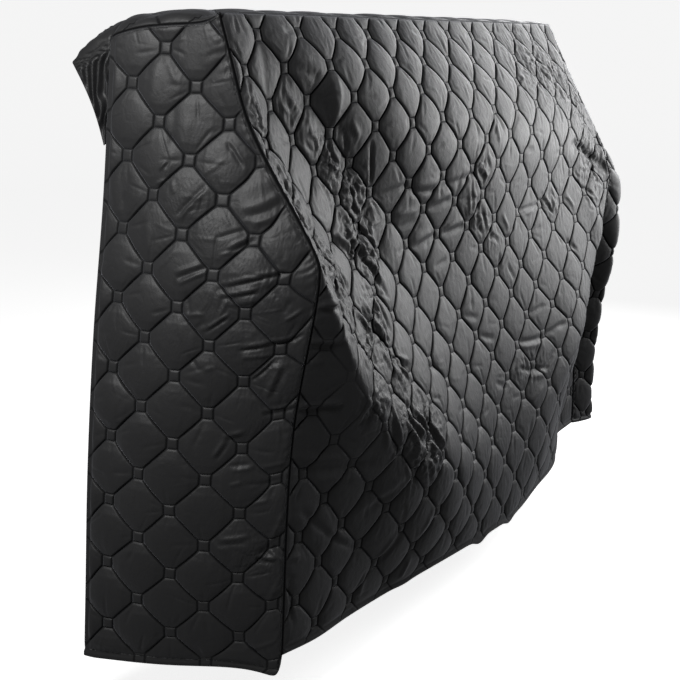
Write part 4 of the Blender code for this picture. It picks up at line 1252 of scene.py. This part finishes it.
def satin(name, thread, taut, painted_shade_factor):
    """A fine twill with pulled threads and small wrinkles. The stitching along the lattice, black thread
    with painted shade in its groove, shows as strongly as the thread says, and the seams are painted the
    same.
    The cloth's black is multiplied by a share of the usual one: a painted shade for cloth that gets little
    light."""
    material = bpy.data.materials.new(name)
    nodes = Nodes(material)
    cloth = nodes.surface.inputs
    lattice = nodes.uv("lattice")
    place = nodes.put("ShaderNodeTexCoord").outputs["Object"]
    tint = nodes.put("ShaderNodeValToRGB", Fac=nodes.noise(place, *MOTTLE))
    for element, level in zip(tint.color_ramp.elements, CLOTH_TINTS):
        # the black is multiplied by the painted shade factor: painted shade, not the cloth's own colour
        element.color = (level * painted_shade_factor, level * painted_shade_factor, level * painted_shade_factor * COOL, 1)
    color = tint.outputs[0]
    gloss = nodes.plus(nodes.times(nodes.noise(place, *GRAIN), ROUGHNESS[1]), ROUGHNESS[0])
    weave = nodes.put("ShaderNodeVectorMath", {"operation": "MULTIPLY"})
    nodes.feed(weave.inputs[0], lattice)
    weave.inputs[1].default_value = WEAVE
    height = nodes.blend(nodes.noise(weave.outputs[0], 1.0, 2.0), WEAVE_HEIGHT,
                         nodes.noise(place, *WRINKLES), WRINKLE_HEIGHT)
    if thread:
        a, b = nodes.parts(lattice)[:2]
        joint, worn = nodes.parts(nodes.uv("edges"))[:2]
        # seam carries the stitching's mark: black thread and painted shade in its groove
        seam = thread_and_painted_groove_shade(nodes, a, b)
        if taut:
            seam = weaker_where_taut(nodes, a, b, seam)
        # the seams join the stitching, and both mix to near-black: black thread and painted shade in their
        # recesses
        seam = nodes.math("MAXIMUM", nodes.times(seam, thread), nodes.ramp(joint, JOINT_THREAD_AND_SHADE_SPREAD, 1.0, 0.0))
        dark = nodes.put("ShaderNodeMix", {"data_type": "RGBA"}, Factor=seam, A=color)
        dark.inputs["B"].default_value = THREAD_AND_PAINTED_SHADE_COLOR
        color = dark.outputs["Result"]
        gloss = nodes.plus(gloss, nodes.times(seam, THREAD_ROUGHNESS))
        # metallic with the near-black colour takes away the cloth's reflection here: painted shade of the
        # groove
        nodes.feed(cloth["Metallic"], nodes.times(seam, GROOVE_SHADE_METALLIC))
        fold = nodes.size(nodes.minus(nodes.noise(place, *SMALL_FOLDS), 0.5))
        fold = nodes.times(fold, nodes.ramp(worn, FOLD_SPREAD, 0.0, 1.0))
        height = nodes.plus(height, nodes.times(fold, FOLD_HEIGHT))
        height = nodes.minus(height, nodes.times(seam, THREAD_DEPTH))
    nodes.feed(cloth["Base Color"], color)
    nodes.feed(cloth["Roughness"], gloss)
    nodes.feed(cloth["Normal"], nodes.put("ShaderNodeBump", Height=height, **BUMP).outputs[0])
    for key, value in SATIN.items():
        cloth[key].default_value = value
    return material


CLOTHS = (   # piece, its solid's node, slot, how strongly its stitching (black thread and painted groove shade) shows, and the share of its black kept, darker as painted shade
    (quilted_front, "front_panel", "front_cloth", 1.0, 1.0),
    (quilted_left, "left_side_panel", "left_side_cloth", 0.62, 1.0),
    (quilted_right, "right_side_panel", "right_side_cloth", 0.8, 1.0),
    # the top and the flap are painted darker, as if they stood in shade
    (quilted_top, "top_panel", "top_cloth", 0.8, 0.6),
    (gathered_flap, "back_flap", "flap_cloth", 0.0, 0.5),
)
for item, node, slot, thread, painted_shade_factor in CLOTHS:
    item.data.materials.append(satin(slot, thread, item is quilted_front, painted_shade_factor))
    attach(item, "root")
    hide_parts(node)


# ---- floor, light and camera ----
FLOOR = -1.235
SWEEP_START = 8.0        # how far out the floor begins to curve up
SWEEP_RADIUS = 1.6
SWEEP_HEIGHT = 9.0
SWEEP_TURNS = 96
SWEEP_ARC = (0.1, np.pi / 2, 14)    # from where to where it curves, and in how many steps
LIGHT_SIZE = 0.9
LIGHT_TARGET = Vector((0.1, -0.1, -0.45))
LIGHTS = (   # name, place, power
    ("left", (-2.0, 0.0, 0.8), 29),
    ("near right", (1.2, -0.7, 0.0), 12),
    ("right", (1.5, -1.0, -0.4), 10),
    ("rim", (2.4, 0.1, 0.5), 23),
)
WORLD_LIGHT = 0.12
HEADING = np.radians(30.28)      # the camera looks this far left of +X, seen from above, and this far down
TILT = np.radians(13.9)
CAMERA_PLACE = (-2.4125, -1.292, -0.047)
SENSOR = 36.0
FOCAL_LENGTH = 63.53


def glowing_paper():
    """Pale paper that is lit from behind, so that it needs little of the light on the cover."""
    material = bpy.data.materials.new("studio_paper")
    material.use_nodes = True
    surface = material.node_tree.nodes["Principled BSDF"]
    for key, value in PAPER.items():
        surface.inputs[key].default_value = value
    return material


def studio_sweep():
    """A pale floor that curves up into a backdrop all round the cover."""
    run = [(SWEEP_START, 0.0)]
    run += [(SWEEP_START + SWEEP_RADIUS * np.sin(t), SWEEP_RADIUS - SWEEP_RADIUS * np.cos(t))
            for t in np.linspace(*SWEEP_ARC)]
    run += [(SWEEP_START + SWEEP_RADIUS, SWEEP_HEIGHT)]
    angles = np.arange(SWEEP_TURNS) * 2 * np.pi / SWEEP_TURNS
    corners = [(reach * np.cos(angle), reach * np.sin(angle), FLOOR + height)
               for reach, height in run for angle in angles]
    faces = []
    for n in range(len(run) - 1):
        for turn in range(SWEEP_TURNS):
            after = (turn + 1) % SWEEP_TURNS
            low, high = n * SWEEP_TURNS, (n + 1) * SWEEP_TURNS
            faces.append((low + turn, high + turn, high + after, low + after))
    faces.append(tuple(range(SWEEP_TURNS)))
    mesh = bpy.data.meshes.new("studio_sweep")
    mesh.from_pydata(corners, [], faces)
    mesh.shade_smooth()
    mesh.materials.append(glowing_paper())
    item = new_object("studio_sweep", mesh)
    item.visible_diffuse = False
    item.visible_glossy = False


def soft_light(name, place, power):
    lamp = bpy.data.lights.new(name, "AREA")
    lamp.size = LIGHT_SIZE
    lamp.energy = power
    item = new_object(name, lamp)
    item.location = place
    item.rotation_euler = (LIGHT_TARGET - Vector(place)).to_track_quat("-Z", "Y").to_euler()


def studio_camera():
    lens = bpy.data.cameras.new("camera")
    lens.sensor_width = SENSOR
    lens.lens = FOCAL_LENGTH
    camera = new_object("camera", lens)
    ahead = Vector((np.cos(HEADING) * np.cos(TILT), np.sin(HEADING) * np.cos(TILT), -np.sin(TILT)))
    aside = Vector((np.sin(HEADING), -np.cos(HEADING), 0.0))
    turned = Matrix((aside, aside.cross(ahead), -ahead)).transposed().to_4x4()
    camera.matrix_world = Matrix.Translation(CAMERA_PLACE) @ turned
    bpy.context.scene.camera = camera


studio_sweep()
for name, place, power in LIGHTS:
    soft_light(name, place, power)
world = bpy.data.worlds.new("studio")
world.use_nodes = True
world.node_tree.nodes["Background"].inputs[0].default_value = (1.0, 1.0, 1.0, 1.0)
world.node_tree.nodes["Background"].inputs[1].default_value = WORLD_LIGHT
bpy.context.scene.world = world
bpy.context.scene.view_settings.view_transform = "Standard"
studio_camera()
